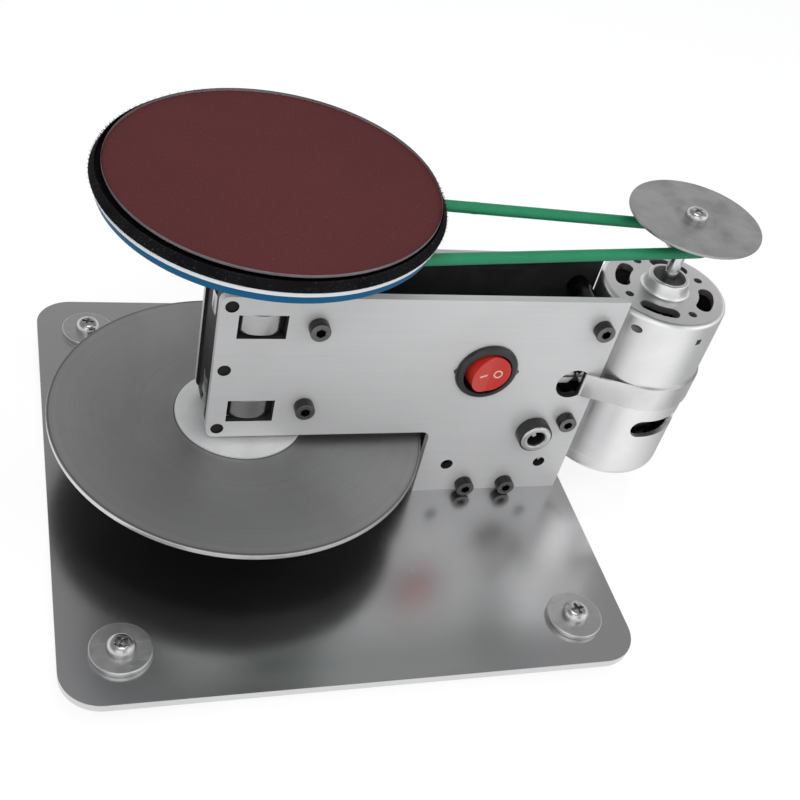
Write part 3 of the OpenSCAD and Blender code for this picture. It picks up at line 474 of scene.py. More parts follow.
# Foot block: a sawn steel bar between the side plates' feet, blackened like the socket screws. Two
# of these hold it from under the base plate.
black_oxide = metal_finish("Black oxide", (0.036, 0.035, 0.034), 0.32,
                           (brushing, {"Stretch": (500, 500, 500)}), streak=0.5, size=150.0, wear=1.0)
softened("foot_block", 0.4, black_oxide, "black_steel")


# Side plates: two 3 mm aluminium plates, cut to one outline, with windows for the bearings and
# holes for screws. Satin outside, painted black as shade inside, where black standoffs part them.
def second_finish(piece, finish, test):
    """Gives the faces of a piece that pass a test another finish."""
    piece.data.materials.append(finish)
    edit(piece)
    choose(piece, "FACE", test)
    piece.active_material_index = len(piece.data.materials) - 1
    bpy.ops.object.material_slot_assign()
    bpy.ops.object.mode_set(mode="OBJECT")


plate_alloy = metal_finish("Satin plate", (0.65, 0.65, 0.653), 0.42,
                           (brushing, {"Stretch": (22, 1300, 900)}), streak=0.12, smudge=0.08,
                           relief=0.05, size=14.0, wear=0.0, scratch=0.0, speck=0.03, metal=0.3)
plate_inner_shade = moulded_finish("Plate inside painted shade", (0.02, 0.02, 0.021), 0.6, grain=600.0, relief=0.1,
                              dust=0.1, shine=0.15)
races = solids_of("bearing_outer_races")


def in_window(point):
    """Whether a point of a plate lies on the edge of one of the bearings' windows."""
    return any(lo.x < point.x < hi.x and lo.z - 1.5 * MM < point.z < hi.z + 1.5 * MM for lo, hi in races)


def hole_walls(plate):
    """The numbers of the faces in a plate's round holes: each has a wall of the same hole before it."""
    return {f.index for f in plate.data.polygons if abs(f.normal.y) < 0.5
            and plate.ray_cast(f.center + f.normal * 0.1 * MM, f.normal, distance=15 * MM)[0]}


for node, inward in (("front_plate", 1), ("rear_plate", -1)):
    plate = softened(node, 0.3, plate_alloy, "plate_alloy")
    bpy.context.view_layer.update()
    walls = hole_walls(plate)
    # Inner faces, hole walls and window edges get a near black finish: painted shade between the plates.
    second_finish(plate, plate_inner_shade, lambda f: (
        f.normal.y * inward > 0.3 or f.index in walls
        or abs(f.normal.y) < 0.5 and in_window(f.calc_center_median())))
softened("standoffs", 0.4, black_oxide, "black_steel")


# Socket cap screws: black oxide steel with a knurled rim and a hexagon socket. Four on each side
# pull the plates on to the standoffs, two on each side hold the foot block, two come from below.
def cap_screw(shank_d, reach):
    """A socket cap screw standing on z = 0, sizes in metres."""
    head_r, head_h, teeth, tooth_in, key_r = shank_d * 0.875, shank_d, 36, 0.945, shank_d * 0.45
    screw = begun(bpy.ops.mesh.primitive_cylinder_add, vertices=2 * teeth, radius=head_r, depth=head_h,
                  location=(0, 0, head_h / 2))
    edit(screw)
    choose(screw, "EDGE", lambda e: abs(e.verts[0].co.z - e.verts[1].co.z) < 1e-7)
    bpy.ops.mesh.bevel(offset=head_h * 0.1, segments=2)
    low, high = head_h * 0.11, head_h * 0.89
    step = math.pi / teeth
    choose(screw, "VERT", lambda v: low - 1e-6 < v.co.z < high + 1e-6 and v.co.xy.length > head_r * 0.97
           and round(math.atan2(v.co.y, v.co.x) / step) % 2 == 0)
    bpy.ops.transform.resize(value=(tooth_in, tooth_in, 1), center_override=(0, 0, head_h / 2))
    choose(screw, "FACE", lambda f: f.normal.z < -0.9)
    under_r = max(v.co.xy.length for v in bmesh.from_edit_mesh(screw.data).verts if v.select)
    on_shank(screw, under_r, shank_d / 2, reach)
    bpy.ops.object.mode_set(mode="OBJECT")
    cut_out(screw, begun(bpy.ops.mesh.primitive_cylinder_add, vertices=6, radius=key_r, depth=head_h,
                         location=(0, 0, head_h * 0.95)))
    return screw


# A lighter oxide for the heads' outer end faces: a painted sheen on them.
oxide_face_sheen = metal_finish("Oxide face painted sheen", (0.15, 0.148, 0.146), 0.42,
                            (brushing, {"Stretch": (500, 500, 500)}), streak=0.5, size=150.0)
front_y, rear_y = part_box("front_plate")[0].y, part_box("rear_plate")[1].y
near_top = 3.8 * MM
screw = cap_screw(4 * MM, 11 * MM)
outward, backward = (math.pi / 2, 0, 0), (-math.pi / 2, 0, 0)
for node in ("front_cap_screws", "rear_cap_screws", "foot_cap_screws"):
    spots = []
    for low, high in solids_of(node):
        middle = (low + high) / 2
        on_front = middle.y < (front_y + rear_y) / 2
        spots.append(((middle.x, front_y if on_front else rear_y, middle.z),
                      outward if on_front else backward))
    screws = fitted(set_in(screw, spots, node + "_finish"), "frame", "black_steel", black_oxide, node)
    second_finish(screws, oxide_face_sheen, lambda f: abs(f.normal.y) > 0.9 and not (
        front_y - near_top < f.calc_center_median().y < rear_y + near_top))
under_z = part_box("base_plate")[0].z
spots = [(((lo.x + hi.x) / 2, (lo.y + hi.y) / 2, under_z), (math.pi, 0, 0))
         for lo, hi in solids_of("block_screws")]
fitted(set_in(screw, spots, "block_screws_finish"), "frame", "black_steel", black_oxide, "block_screws")
bpy.data.objects.remove(screw)

# Spindle bearings: two ground steel ball bearings in a black carrier block, which pegs hold between
# the plates. The outer races show through the windows; the inner ones turn with the spindle.
carrier_black = moulded_finish("Carrier black", (0.012, 0.012, 0.013), 0.5, grain=700.0, relief=0.15,
                               dust=0.08, shine=0.15)
softened("bearing_carrier", 0.3, carrier_black, "carrier_black")
bearing_steel = metal_finish("Ground bearing steel", (0.40, 0.40, 0.405), 0.2,
                             (brushing, {"Stretch": (40, 40, 1500)}), streak=0.06, smudge=0.05,
                             relief=0.03, size=60.0, wear=0.0, scratch=0.0, speck=0.03)
for node in ("bearing_outer_races", "bearing_inner_races"):
    softened(node, 0.3, bearing_steel, "bearing_steel")


def coated(node, finish):
    """Gives a finish to a CAD node that is seen as it is."""
    frame["nodes"][node].material_slots[0].material = finish


shield_steel = metal_finish("Pressed shield", (0.42, 0.42, 0.43), 0.4,
                            (brushing, {"Stretch": (500, 500, 500)}), size=120.0)
coated("bearing_shields", shield_steel)
coated("bearing_balls", bearing_steel)

# Spindle: a turned steel shaft with spacers and a collar that hold the bearings, the pulley and
# the discs apart. The ground surface shows fine rings from the lathe.
turning, given, result = shader_group(
    "Turning marks", [("Axis", "NodeSocketVector", (0, 0, 0)), ("Pitch", "NodeSocketFloat", 900.0)],
    ["Ring"])
offset = put(turning, "VectorMath", {0: put(turning, "TexCoord").outputs["Object"],
                                     1: given.outputs["Axis"]}, operation="SUBTRACT")
flat = put(turning, "VectorMath", {0: offset, 1: (1, 1, 0)}, operation="MULTIPLY")
radius = put(turning, "VectorMath", {0: flat}, operation="LENGTH")
rise = put(turning, "SeparateXYZ", {0: offset})
along = put(turning, "Math", {0: radius.outputs["Value"], 1: rise.outputs["Z"]}, operation="ADD")
count = put(turning, "Math", {0: along, 1: given.outputs["Pitch"]}, operation="MULTIPLY")
groove = put(turning, "TexNoise", {"W": count, "Scale": 1.0, "Detail": 3.0}, noise_dimensions="1D")
feed(turning, result, {"Ring": groove})



def axis_of(node):
    """The foot of the upright axis that a CAD node lies round."""
    low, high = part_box(node)
    return ((low.x + high.x) / 2, (low.y + high.y) / 2, 0)


def half_width(node):
    """The radius of a round CAD node, as half its width."""
    low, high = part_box(node)
    return (high.x - low.x) / 2


spindle_axis = axis_of("spindle_shaft")
turned_steel = metal_finish("Turned steel", (0.60, 0.60, 0.61), 0.26,
                            (turning, {"Axis": spindle_axis, "Pitch": 1400.0}), streak=0.3, size=80.0)
for node in ("spindle_shaft", "bearing_spacer", "pulley_collar", "disc_spacer"):
    softened(node, 0.3, turned_steel, "bright_steel")


# Lower disc: a plain steel disc with a bare turned edge, dull on top and painted black below as
# shade. A thin bright flange clamps it from above, and a flange and a nut from below.
def band_round(tree, axis, start, stop):
    """1 between two distances from an upright axis, fading over a third of a millimetre."""
    offset = put(tree, "VectorMath", {0: put(tree, "TexCoord").outputs["Object"], 1: axis},
                 operation="SUBTRACT")
    flat = put(tree, "VectorMath", {0: offset, 1: (1, 1, 0)}, operation="MULTIPLY")
    away = put(tree, "VectorMath", {0: flat}, operation="LENGTH").outputs["Value"]
    rise = put(tree, "MapRange", {"Value": away, "From Min": start, "From Max": start + 0.3 * MM})
    fall = put(tree, "MapRange", {"Value": away, "From Min": stop, "From Max": stop + 0.3 * MM,
                                  "To Min": 1.0, "To Max": 0.0})
    return put(tree, "Math", {0: rise, 1: fall}, operation="MULTIPLY")


disc_r, flange_r = half_width("lower_disc"), half_width("disc_flange")


def disc_rim_line_and_flange_shade(tree):
    """A dark line inside the disc's rim, and painted shade in the corner round the flange."""
    return ((band_round(tree, spindle_axis, disc_r - 1.1 * MM, disc_r - 0.5 * MM), -0.45, 0.0),
            (band_round(tree, spindle_axis, flange_r - 0.5 * MM, flange_r + 0.3 * MM), -0.5, 0.0))


disc_steel = metal_finish("Blued disc steel", (0.38, 0.38, 0.382), 0.55,
                          (turning, {"Axis": spindle_axis, "Pitch": 700.0}), streak=0.14, smudge=0.14,
                          relief=0.04, size=12.0, wear=0.0, scratch=0.02, speck=0.03,
                          marks=disc_rim_line_and_flange_shade)
disc = softened("lower_disc", 0.25, disc_steel, "disc_steel")
# The disc's under side is painted near black: painted shade under the disc.
disc_under_shade = moulded_finish("Disc under side painted shade", (0.006, 0.006, 0.006), 0.75, grain=500.0, relief=0.1,
                            dust=0.02, shine=0.1)
second_finish(disc, disc_under_shade, lambda f: f.normal.z < -0.9)
disc_edge = metal_finish("Turned disc edge", (0.62, 0.62, 0.62), 0.35,
                         (turning, {"Axis": spindle_axis, "Pitch": 1200.0}), streak=0.2, relief=0.1)
second_finish(disc, disc_edge, lambda f: abs(f.normal.z) < 0.85)
flange_alloy = metal_finish("Turned flange", (0.86, 0.86, 0.86), 0.42,
                            (turning, {"Axis": spindle_axis, "Pitch": 1100.0}), streak=0.08, relief=0.08,
                            size=40.0, metal=0.35)
softened("disc_flange", 0.2, flange_alloy, "turned_alloy")
softened("lower_flange", 0.5, black_oxide, "black_steel")
softened("spindle_nut", 0.6, black_oxide, "black_steel", rounds=3)

# Spindle pulley: turned from aluminium bar, with a round groove for the belt and a hub whose set
# screw grips the spindle.
softened("spindle_pulley", 0.3, flange_alloy, "turned_alloy")
softened("pulley_set_screw", 0.15, black_oxide, "black_steel")


# Sanding pad: a moulded backing plate, blue at its rim and dark below, with a bonded foam layer.
# Both are turned here from their half sections. The plate screws on to the spindle's top.
def turned(name, section, axis, steps=128, closed=True):
    """A lathe piece: its half section, as (radius, height) in metres, spun round an upright axis."""
    piece = begun(bpy.ops.mesh.primitive_circle_add, vertices=len(section), radius=1,
                  fill_type="NOTHING")
    piece.name = piece.data.name = name
    for corner, (r, z) in zip(piece.data.vertices, section):
        corner.co = (axis[0] + r, axis[1], z)
    edit(piece)
    if not closed:
        ends = (section[0], section[-1])
        choose(piece, "EDGE", lambda e: all(
            any(abs(v.co.x - axis[0] - r) < 1e-7 and abs(v.co.z - z) < 1e-7 for r, z in ends)
            for v in e.verts))
        bpy.ops.mesh.delete(type="EDGE")
    bpy.ops.mesh.select_all(action="SELECT")
    bpy.ops.mesh.spin(steps=steps, angle=2 * math.pi, center=(axis[0], axis[1], 0), axis=(0, 0, 1))
    bpy.ops.mesh.select_all(action="SELECT")
    bpy.ops.mesh.remove_doubles(threshold=0.003 * MM)
    bpy.ops.mesh.normals_make_consistent(inside=False)
    bpy.ops.object.mode_set(mode="OBJECT")
    smoothed(piece, 40)
    return piece


def rounded(corners, radius, steps=4):
    """A half section with each of its corners rounded off, unless it lies on the axis."""
    out = []
    for i, here in enumerate(corners):
        here = Vector(here)
        before, after = Vector(corners[i - 1]), Vector(corners[(i + 1) % len(corners)])
        if here.x < 1e-9:
            out.append(tuple(here))
            continue
        reach = min(radius, (before - here).length * 0.45, (after - here).length * 0.45)
        start = here + (before - here).normalized() * reach
        stop = here + (after - here).normalized() * reach
        for k in range(steps + 1):
            t = k / steps
            out.append(tuple(start * (1 - t) ** 2 + here * 2 * t * (1 - t) + stop * t ** 2))
    return out


low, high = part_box("backing_plate")
base, top, rim = low.z, high.z, half_width("backing_plate")
bore, hub_r, dish_r, dish_h = 5.02 * MM, 18 * MM, 23 * MM, 0.8 * MM
slope_in, slope_h, lip_in, lip_h, edge_h = 7 * MM, 2.2 * MM, 1 * MM, 3.2 * MM, 2.6 * MM
plate_section = rounded([
    (bore, base), (hub_r, base), (dish_r, base + dish_h), (rim - slope_in, base + slope_h),
    (rim - lip_in, top - lip_h), (rim, top - edge_h), (rim, top), (bore, top)], 0.5 * MM)
blue = moulded_finish("Blue backing", (0.005, 0.105, 0.23), 0.45, grain=700.0, relief=0.05, tint=0.06,
                      dust=0.03, shine=0.12)
backing = fitted(turned("backing_plate_finish", plate_section, spindle_axis), "spindle", "backing_blue",
                 blue, "backing_plate")
backing_core = moulded_finish("Backing core", (0.03, 0.03, 0.032), 0.6, grain=500.0, relief=0.2)
second_finish(backing, backing_core, lambda f: f.normal.z < -0.5)
low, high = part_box("foam_layer")
rim = half_width("foam_layer")
foam_section = rounded([(0, high.z), (0, low.z), (rim, low.z), (rim, high.z)], 0.35 * MM)
white = moulded_finish("Foam", (0.80, 0.81, 0.82), 0.8, grain=1600.0, relief=0.5, tint=0.08, dust=0.0)
fitted(turned("foam_layer_finish", foam_section, spindle_axis, closed=False), "spindle", "foam_white",
       white, "foam_layer")

# Hook pad: a black hook-and-loop disc on the foam. Its rim is sheared at a slant, and short stiff
# hairs stand out of it, with pale dust caught among them.
low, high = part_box("hook_pad")
rim, top = half_width("hook_pad"), high.z
shear_r = max((v.co - Vector(spindle_axis)).to_2d().length
              for v in frame["nodes"]["hook_pad"].data.vertices if v.co.z > top - 0.01 * MM)
hook_section = rounded([(0, top), (0, low.z), (rim - 0.3 * MM, low.z), (rim, low.z + 0.5 * MM),
                        (shear_r, top)], 0.3 * MM)
hook_black = moulded_finish("Hook fabric", (0.006, 0.006, 0.007), 0.95, grain=1100.0, relief=1.0,
                            tint=0.5, dust=0.18, size=200.0, shine=0.08)
pad = turned("hook_pad_finish", hook_section, spindle_axis, closed=False)


def rim_hairs(count, lift, turn, tilt, lean, length, thick):
    """A ring of short hairs standing out of the slanted rim, all copies of one bent cone."""
    hair = begun(bpy.ops.mesh.primitive_cone_add, vertices=4, radius1=thick, radius2=thick * 0.4,
                 depth=length, location=(0, 0, length / 2), end_fill_type="TRIFAN")
    edit(hair)
    bpy.ops.mesh.select_all(action="SELECT")
    bpy.ops.mesh.subdivide(number_cuts=1)
    choose(hair, "VERT", lambda v: v.co.z > length * 0.7)
    bpy.ops.transform.translate(value=(length * 0.25 * lean, length * 0.3 * lean, 0))
    bpy.ops.object.mode_set(mode="OBJECT")
    root, foot_z = 0.15 * MM, low.z + 0.5 * MM
    hair.location = (rim + (shear_r - rim) * lift - root, 0, foot_z + (top - foot_z) * lift)
    hair.rotation_euler = (lean * 0.5, tilt, 0)
    only(hair)
    bpy.ops.object.transform_apply()
    bpy.ops.object.empty_add(location=(0, 0, 0), rotation=(0, 0, 2 * math.pi / count))
    pivot = bpy.context.active_object
    applied(hair, "ARRAY", count=count, use_relative_offset=False, use_object_offset=True,
            offset_object=pivot)
    bpy.data.objects.remove(pivot)
    hair.location, hair.rotation_euler = spindle_axis, (0, 0, turn)
    only(hair)
    bpy.ops.object.transform_apply()
    return hair


rows = [(131, 0.05, 0.1, 1.5, 1), (149, 0.2, 0.3, 1.2, -1), (127, 0.35, 0.5, 1.0, 1),
        (139, 0.5, 0.8, 0.8, -1), (121, 0.65, 1.1, 1.3, 1), (113, 0.8, 1.4, 0.7, -1),
        (109, 0.95, 1.8, 0.4, 1)]
hairs = [rim_hairs(count, lift, turn, tilt, lean, (0.55 + 0.12 * (i % 3)) * MM, 0.11 * MM)
         for i, (count, lift, turn, tilt, lean) in enumerate(rows)]
only(pad, *hairs)
bpy.ops.object.join()
fitted(pad, "spindle", "hook_black", hook_black, "hook_pad")

# Sanding disc: a maroon abrasive paper disc, stuck on the hooks a little off the middle. Its grit is
# fine and even, and the pale cut edge of its backing paper shows all round.
low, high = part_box("sanding_disc")
paper_r = half_width("sanding_disc")
paper_section = rounded([(0, high.z), (0, low.z), (paper_r, low.z), (paper_r, high.z)], 0.15 * MM,
                        steps=2)
paper = turned("sanding_disc_finish", paper_section, axis_of("sanding_disc"), steps=180, closed=False)
abrasive, tree, skin = blank_finish("Abrasive paper")
spot = put(tree, "TexCoord").outputs["Object"]
grain = put(tree, "TexVoronoi", {"Vector": spot, "Scale": 2600.0, "Randomness": 1.0})
hand = put(tree, "Group", {"Size": 14.0}, node_tree=handling)
fine = put(tree, "TexNoise", {"Vector": spot, "Scale": 1800.0, "Detail": 4.0, "Roughness": 0.7})
value = toned(tree, 1.0, (grain, 0.35, 0.35), (hand.outputs["Smudge"], 0.10, 0.3),
              (fine, 0.5, 0.5))
tone = put(tree, "HueSaturation", {"Value": value, "Color": (0.100, 0.0275, 0.0295, 1)})
pick = put(tree, "Math", {0: hand.outputs["Speck"], 1: 0.25}, operation="MULTIPLY")
final = put(tree, "Mix", {0: pick, 6: tone, 7: (0.30, 0.18, 0.17, 1)}, data_type="RGBA")
dull = toned(tree, 0.82, (fine, 0.2, 0.5))
heap = toned(tree, 0.0, (grain, 0.8, 0.3), (fine, 0.6, 0.5))
bump = put(tree, "Bump", {"Strength": 0.55, "Distance": 0.12 * MM, "Height": heap})
feed(tree, skin, {"Base Color": final.outputs[2], "Roughness": dull, "Normal": bump,
                  "Specular IOR Level": 0.1})
fitted(paper, "spindle", "paper_maroon", abrasive, "sanding_disc")
paper_edge = moulded_finish("Paper edge", (0.22, 0.19, 0.20), 0.9, grain=1500.0, relief=0.4, tint=0.5)
second_finish(paper, paper_edge, lambda f: abs(f.normal.z) < 0.8)

# Drive belt: a round green polyurethane belt, welded into a loop and stretched over both pulleys.
# The weld shows as a slight swelling on the far run.
low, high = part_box("drive_belt")
belt_r = (high.z - low.z) / 2
belt_z = (high.z + low.z) / 2
spindle_r, motor_r = 20.3 * MM, 8.1 * MM
motor_axis = axis_of("motor_shaft")
span = motor_axis[0] - spindle_axis[0]
wrap = math.acos((spindle_r - motor_r) / span)
loop = []
for axis, r, start, stop, steps in ((spindle_axis, spindle_r, wrap, 2 * math.pi - wrap, 48),
                                    (motor_axis, motor_r, -wrap, wrap, 24)):
    for k in range(steps + 1):
        a = start + (stop - start) * k / steps
        loop.append((axis[0] + r * math.cos(a), axis[1] + r * math.sin(a), 1))
first, last = Vector(loop[-1]), Vector(loop[0])
for share, swell in ((0.5, 1.0), (0.508, 1.04), (0.514, 1.04), (0.522, 1.0)):
    weld = first.lerp(last, share)
    loop.append((weld.x, weld.y, swell))
line = bpy.data.curves.new("drive_belt_finish", "CURVE")
line.dimensions = "3D"
line.bevel_depth = belt_r
line.bevel_resolution = 6
path = line.splines.new("POLY")
path.points.add(len(loop) - 1)
for point, (x, y, swell) in zip(path.points, loop):
    point.co = (x, y, belt_z, 1)
    point.radius = swell
path.use_cyclic_u = True
belt = bpy.data.objects.new("drive_belt_finish", line)
bpy.context.scene.collection.objects.link(belt)
only(belt)
bpy.ops.object.convert(target="MESH")
belt = bpy.context.active_object
belt.name = belt.data.name = "drive_belt_finish"
bpy.ops.object.shade_smooth()
green = moulded_finish("Green belt", (0.010, 0.235, 0.105), 0.45, grain=1300.0, relief=0.25, tint=0.12,
                       dust=0.12, size=60.0, shine=0.35)
fitted(belt, "frame", "belt_green", green, "drive_belt")

# Motor pulley and guard disc: a small turned pulley on the motor shaft, with a thin steel disc
# screwed on top that keeps the belt from climbing off.
motor_alloy = metal_finish("Turned pulley", (0.66, 0.66, 0.66), 0.28,
                           (turning, {"Axis": motor_axis, "Pitch": 1300.0}), streak=0.25, size=80.0)
softened("motor_pulley", 0.25, motor_alloy, "turned_alloy")


def guard_marks(tree):
    """A ring of dirt left on the guard disc round its screw."""
    return ((band_round(tree, motor_axis, 6.2 * MM, 7.6 * MM), -0.10, 0.0),
            (band_round(tree, motor_axis, 3.5 * MM, 6.0 * MM), -0.05, 0.0))


guard_steel = metal_finish("Guard steel", (0.37, 0.37, 0.374), 0.45,
                           (turning, {"Axis": motor_axis, "Pitch": 800.0}), streak=0.06, smudge=0.16,
                           relief=0.08, size=55.0, wear=1.0, scratch=0.08, marks=guard_marks)
softened("guard_disc", 0.2, guard_steel, "disc_steel")
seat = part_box("guard_disc")[1].z
screw = pan_screw(3 * MM, 8 * MM, 2.6 * MM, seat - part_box("guard_screw")[0].z)
guard_screw = set_in(screw, [((*motor_axis[:2], seat), (0, 0, 0.35))], "guard_screw_finish")
bpy.data.objects.remove(screw)
fitted(guard_screw, "rotor", "bright_steel", bright_steel, "guard_screw")
shaft_steel = metal_finish("Motor shaft steel", (0.62, 0.62, 0.63), 0.2,
                           (turning, {"Axis": motor_axis, "Pitch": 1500.0}), streak=0.15, size=90.0)
softened("motor_shaft", 0.25, shaft_steel, "bright_steel")

# Motor can: a drawn steel can, zinc-plated, with a rounded front edge, a flared bearing boss, cooling
# slots and punched marks in its side. A pressed end cap closes it below.
can_steel = metal_finish("Plated can", (0.80, 0.80, 0.805), 0.36,
                         (brushing, {"Stretch": (220, 220, 30)}), streak=0.06, smudge=0.08,
                         relief=0.0, size=35.0, wear=0.0, scratch=0.0, speck=0.03)
can_r = half_width("motor_end_cap")


def from_motor(point):
    """Distance of a point from the motor's axis."""
    return math.hypot(point.x - motor_axis[0], point.y - motor_axis[1])


def ring_edges(z, inner, outer):
    """Picks the edges at one height whose ends lie between two distances from the motor's axis."""
    return lambda e: all(abs(v.co.z - z) < 0.002 * MM and inner * MM < from_motor(v.co) < outer * MM
                         for v in e.verts)


boss_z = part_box("motor_can")[1].z
front_z = max(v.co.z for v in frame["nodes"]["motor_can"].data.vertices
              if from_motor(v.co) > can_r - 1 * MM)
can = whole_copy("motor_can")
can_rim, boss_foot, boss_rim = (23, 24), (8.2, 9), (7, 7.8)
for z, (inner, outer), width, rounds in (
    (front_z, can_rim, 1.8, 5), (front_z, boss_foot, 0.9, 4), (boss_z, boss_rim, 0.4, 3),
):
    choose(can, "EDGE", ring_edges(z, inner, outer))
    bpy.ops.mesh.bevel(offset=width * MM, segments=rounds)
bpy.ops.object.mode_set(mode="OBJECT")


def on_can_side(azimuth, out, z):
    """A point in front of the can's side, out from its surface."""
    a = math.radians(azimuth)
    return (motor_axis[0] + (can_r + out * MM) * math.cos(a),
            motor_axis[1] + (can_r + out * MM) * math.sin(a), z * MM)


dent_turn, dent_z, dent_reach = -134, 92.7, 2.6 * MM
square_turn, square_z = -73.5, 91.3
dent = begun(bpy.ops.mesh.primitive_uv_sphere_add, segments=40, ring_count=24, radius=3.6 * MM,
             scale=(1, 1, 0.6), location=on_can_side(dent_turn, 2.7, dent_z))
punch = begun(bpy.ops.mesh.primitive_cube_add, size=2.3 * MM, scale=(2, 1, 1),
              location=on_can_side(square_turn, -0.6, square_z),
              rotation=(0, 0, math.radians(square_turn)))
cut_out(can, dent, punch)
broken(can, 0.2, 35)
smoothed(can, 32)
fitted(can, "frame", "motor_steel", can_steel, "motor_can")
# The can's inner wall and the inside of its front are painted near black: painted shade in the can.
can_inside_shade = moulded_finish("Can inside painted shade", (0.02, 0.02, 0.021), 0.6, grain=500.0, relief=0.15, dust=0.05)
second_finish(can, can_inside_shade, lambda f: (
    f.normal.z < -0.9 and f.calc_center_median().z > front_z - 6 * MM
    or abs(f.normal.z) < 0.3 and from_motor(f.calc_center_median()) < can_r - 1.6 * MM
    and f.calc_center_median().z < front_z - 2.7 * MM))
# The faces inside the dent are painted dark grey: painted shade in the recess.
dent_shade = metal_finish("Painted shade in the dent", (0.17, 0.17, 0.17), 0.6,
                         (brushing, {"Stretch": (300, 300, 300)}), size=200.0)
dent_middle = Vector(on_can_side(dent_turn, 0, dent_z))
second_finish(can, dent_shade, lambda f: (
    can_r - 1.2 * MM < from_motor(f.calc_center_median()) < can_r - 0.06 * MM
    and (f.calc_center_median() - dent_middle).length < dent_reach))
softened("motor_end_cap", 0.3, can_steel, "motor_steel")

# Inside the motor: sintered magnets, a stack of core plates with varnished copper ends, and the
# commutator with its brushes. A sealed bearing sits in the front boss, a bronze bush at the rear.
copper = metal_finish("Varnished copper", (0.30, 0.10, 0.035), 0.35,
                      (turning, {"Axis": motor_axis, "Pitch": 1800.0}), streak=0.8, relief=0.6,
                      size=80.0)
bronze = metal_finish("Sintered bronze", (0.46, 0.26, 0.11), 0.45,
                      (brushing, {"Stretch": (900, 900, 900)}), streak=0.4, size=90.0)
core_steel = metal_finish("Core plates", (0.20, 0.20, 0.21), 0.5,
                          (brushing, {"Stretch": (60, 60, 3000)}), streak=0.6, relief=0.6, size=60.0)
magnet = moulded_finish("Sintered magnet", (0.045, 0.045, 0.05), 0.6, grain=1800.0, relief=0.3, dust=0.1)
bearing_seal = moulded_finish("Bearing seal", (0.012, 0.012, 0.012), 0.45, grain=900.0, relief=0.1)
carbon = moulded_finish("Brush carbon", (0.02, 0.02, 0.02), 0.55, grain=2200.0, relief=0.3, dust=0.15)
for node, finish in (
    ("motor_magnets", magnet), ("motor_armature", core_steel), ("armature_windings", copper),
    ("commutator", copper), ("motor_brushes", carbon), ("motor_front_bush", bearing_seal),
    ("motor_rear_bush", bronze),
):
    coated(node, finish)
softened("motor_grommet", 0.2, rubber, "rubber_black")

# Clamp: a worm-drive hose clamp, its stainless band drawn round the motor and through the plates'
# holes. The screw's housing lies between the plates, and the spare end is left long.
band_steel = metal_finish("Clamp band", (0.66, 0.66, 0.66), 0.16,
                          (brushing, {"Stretch": (25, 25, 900)}), streak=0.04, smudge=0.06, relief=0.0,
                          size=40.0, scratch=0.0, speck=0.03)
softened("clamp_band", 0.15, band_steel, "clamp_steel")
softened("clamp_housing", 0.5, zinc, "clamp_steel", rounds=3)
softened("clamp_worm", 0.3, zinc, "clamp_steel")

# Rocker switch: a black snap-in housing with a domed bezel and two small ears, and a red rocker with
# its on and off marks printed in pale ink.
gloss_black = moulded_finish("Switch housing", (0.012, 0.012, 0.013), 0.28, grain=900.0, relief=0.06,
                             tint=0.2, dust=0.06, size=90.0)
low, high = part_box("switch_housing")
switch_x, switch_z = (low.x + high.x) / 2, (low.z + high.z) / 2
bezel_r, bezel_y = (high.x - low.x) / 2, low.y
housing = whole_copy("switch_housing")
choose(housing, "EDGE", lambda e: all(
    abs(v.co.y - bezel_y) < 0.002 * MM
    and math.hypot(v.co.x - switch_x, v.co.z - switch_z) > bezel_r - 0.1 * MM for v in e.verts))
bpy.ops.mesh.bevel(offset=1.6 * MM, segments=5)
bpy.ops.object.mode_set(mode="OBJECT")
ears, ear_size = [], (1.8 * MM, 1.2 * MM, 4.4 * MM)
for side in (-1, 1):
    ear = begun(bpy.ops.mesh.primitive_cube_add, size=1, scale=ear_size,
                location=(switch_x + side * (bezel_r - 0.1 * MM), front_y - ear_size[1] / 2, switch_z))
    edit(ear)
    choose(ear, "FACE", lambda f: f.normal.x * side > 0.9)
    bpy.ops.transform.resize(value=(1, 0.5, 0.12), center_override=(switch_x, front_y, switch_z))
    bpy.ops.object.mode_set(mode="OBJECT")
    ears.append(ear)
only(housing, *ears)
bpy.ops.object.join()
broken(housing, 0.2, 35)
smoothed(housing, 35)
fitted(housing, "frame", "switch_black", gloss_black, "switch_housing")
red = moulded_finish("Rocker red", (0.62, 0.032, 0.020), 0.30, grain=800.0, relief=0.04, tint=0.12,
                     dust=0.02, size=70.0, shine=0.35)
rocker = softened("switch_rocker", 0.35, red, "rocker_red", rounds=3)
dash = begun(bpy.ops.mesh.primitive_cube_add, size=1, scale=(3.4 * MM, 0.75 * MM, 0.12 * MM))
ring = begun(bpy.ops.mesh.primitive_torus_add, major_radius=1.45 * MM, minor_radius=0.3 * MM,
             major_segments=40, minor_segments=8)
ring.scale.z = 0.25
pale_ink = moulded_finish("Switch print", (0.80, 0.56, 0.49), 0.5, grain=1500.0, tint=0.1, dust=0.0)
bpy.context.view_layer.update()
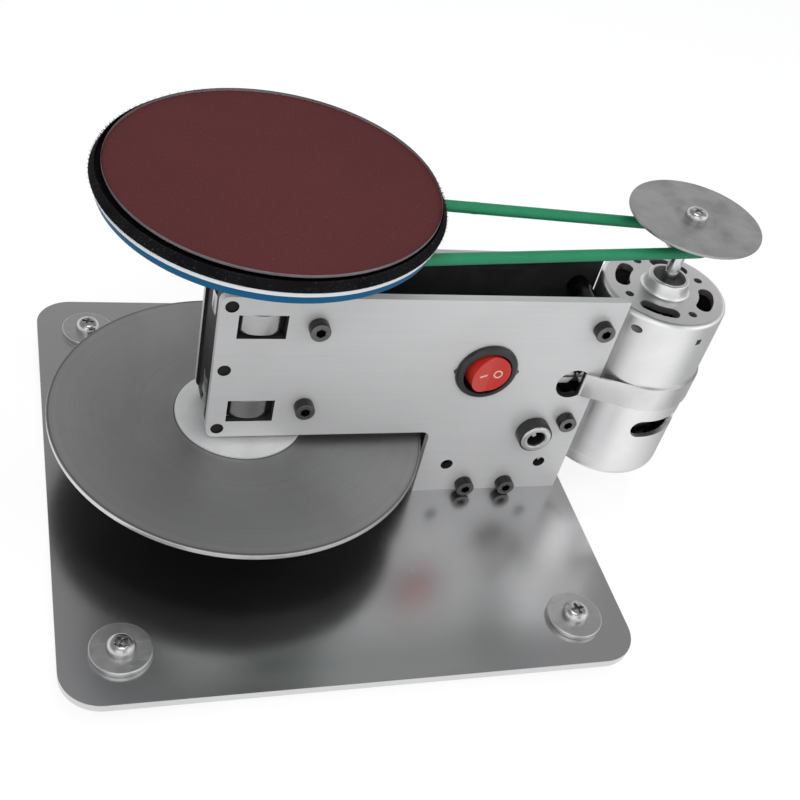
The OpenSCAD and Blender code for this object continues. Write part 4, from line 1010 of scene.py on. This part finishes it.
for mark, name, across in ((dash, "switch_on_mark", -1.9), (ring, "switch_off_mark", 3.9)):
    only(mark)
    bpy.ops.object.transform_apply(location=False, rotation=False, scale=True)
    start = Vector((switch_x + across * MM, bezel_y - 10 * MM, switch_z))
    _, spot, facing, _ = rocker.ray_cast(start, Vector((0, 1, 0)))
    mark.location = spot
    mark.rotation_euler = facing.to_track_quat("Z", "Y").to_euler()
    mark.name = mark.data.name = name
    bpy.ops.object.transform_apply()
    broken(mark, 0.04, 30)
    smoothed(mark, 50)
    fitted(mark, "rocker", "rocker_red", pale_ink)
brass = metal_finish("Tinned brass", (0.62, 0.48, 0.22), 0.3,
                     (brushing, {"Stretch": (600, 600, 600)}), size=120.0)
coated("switch_terminals", brass)

# Power socket: a black panel jack with a bright metal ring round its mouth, a sprung centre pin, a
# nut behind the plate and two solder lugs.
softened("jack_body", 0.4, gloss_black, "jack_black", rounds=3)
low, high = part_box("jack_body")
mouth = ((low.x + high.x) / 2, low.y + 0.3 * MM, (low.z + high.z) / 2)
mouth_r, ring_r, ring_h = 3.5 * MM, 5.9 * MM, 0.9 * MM
ring_section = rounded([(mouth_r, 0), (ring_r, 0), (ring_r, 0.5 * MM), (ring_r - 0.7 * MM, ring_h),
                        (mouth_r + 0.4 * MM, ring_h), (mouth_r, 0.6 * MM)], 0.25 * MM)
ring = turned("mouth_ring", ring_section, (0, 0, 0), steps=64)
jack_ring = set_in(ring, [(mouth, outward)], "jack_mouth_ring")
bpy.data.objects.remove(ring)
fitted(jack_ring, "frame", "bright_steel", bright_steel)
softened("jack_nut", 0.3, zinc, "bright_steel")
softened("jack_pin", 0.3, bright_steel, "bright_steel", rounds=3)
coated("jack_lugs", brass)

# Leads: thin stranded wire in red and black sleeves, soldered from the socket to the switch and on
# to the motor, lying loose between the plates.
red_sleeve = moulded_finish("Red sleeve", (0.45, 0.02, 0.02), 0.4, grain=1500.0, relief=0.1)
black_sleeve = moulded_finish("Black sleeve", (0.015, 0.015, 0.016), 0.42, grain=1500.0, relief=0.1)
for node, sleeve, slot in (
    ("power_lead", red_sleeve, "lead_red"), ("switch_lead", red_sleeve, "lead_red"),
    ("return_lead", black_sleeve, "lead_black"),
):
    lead = whole_copy(node)
    bpy.ops.object.mode_set(mode="OBJECT")
    applied(lead, "SUBSURF", levels=2, render_levels=2)
    only(lead)
    bpy.ops.object.shade_smooth_by_angle(angle=math.radians(50))
    fitted(lead, "frame", slot, sleeve, node)
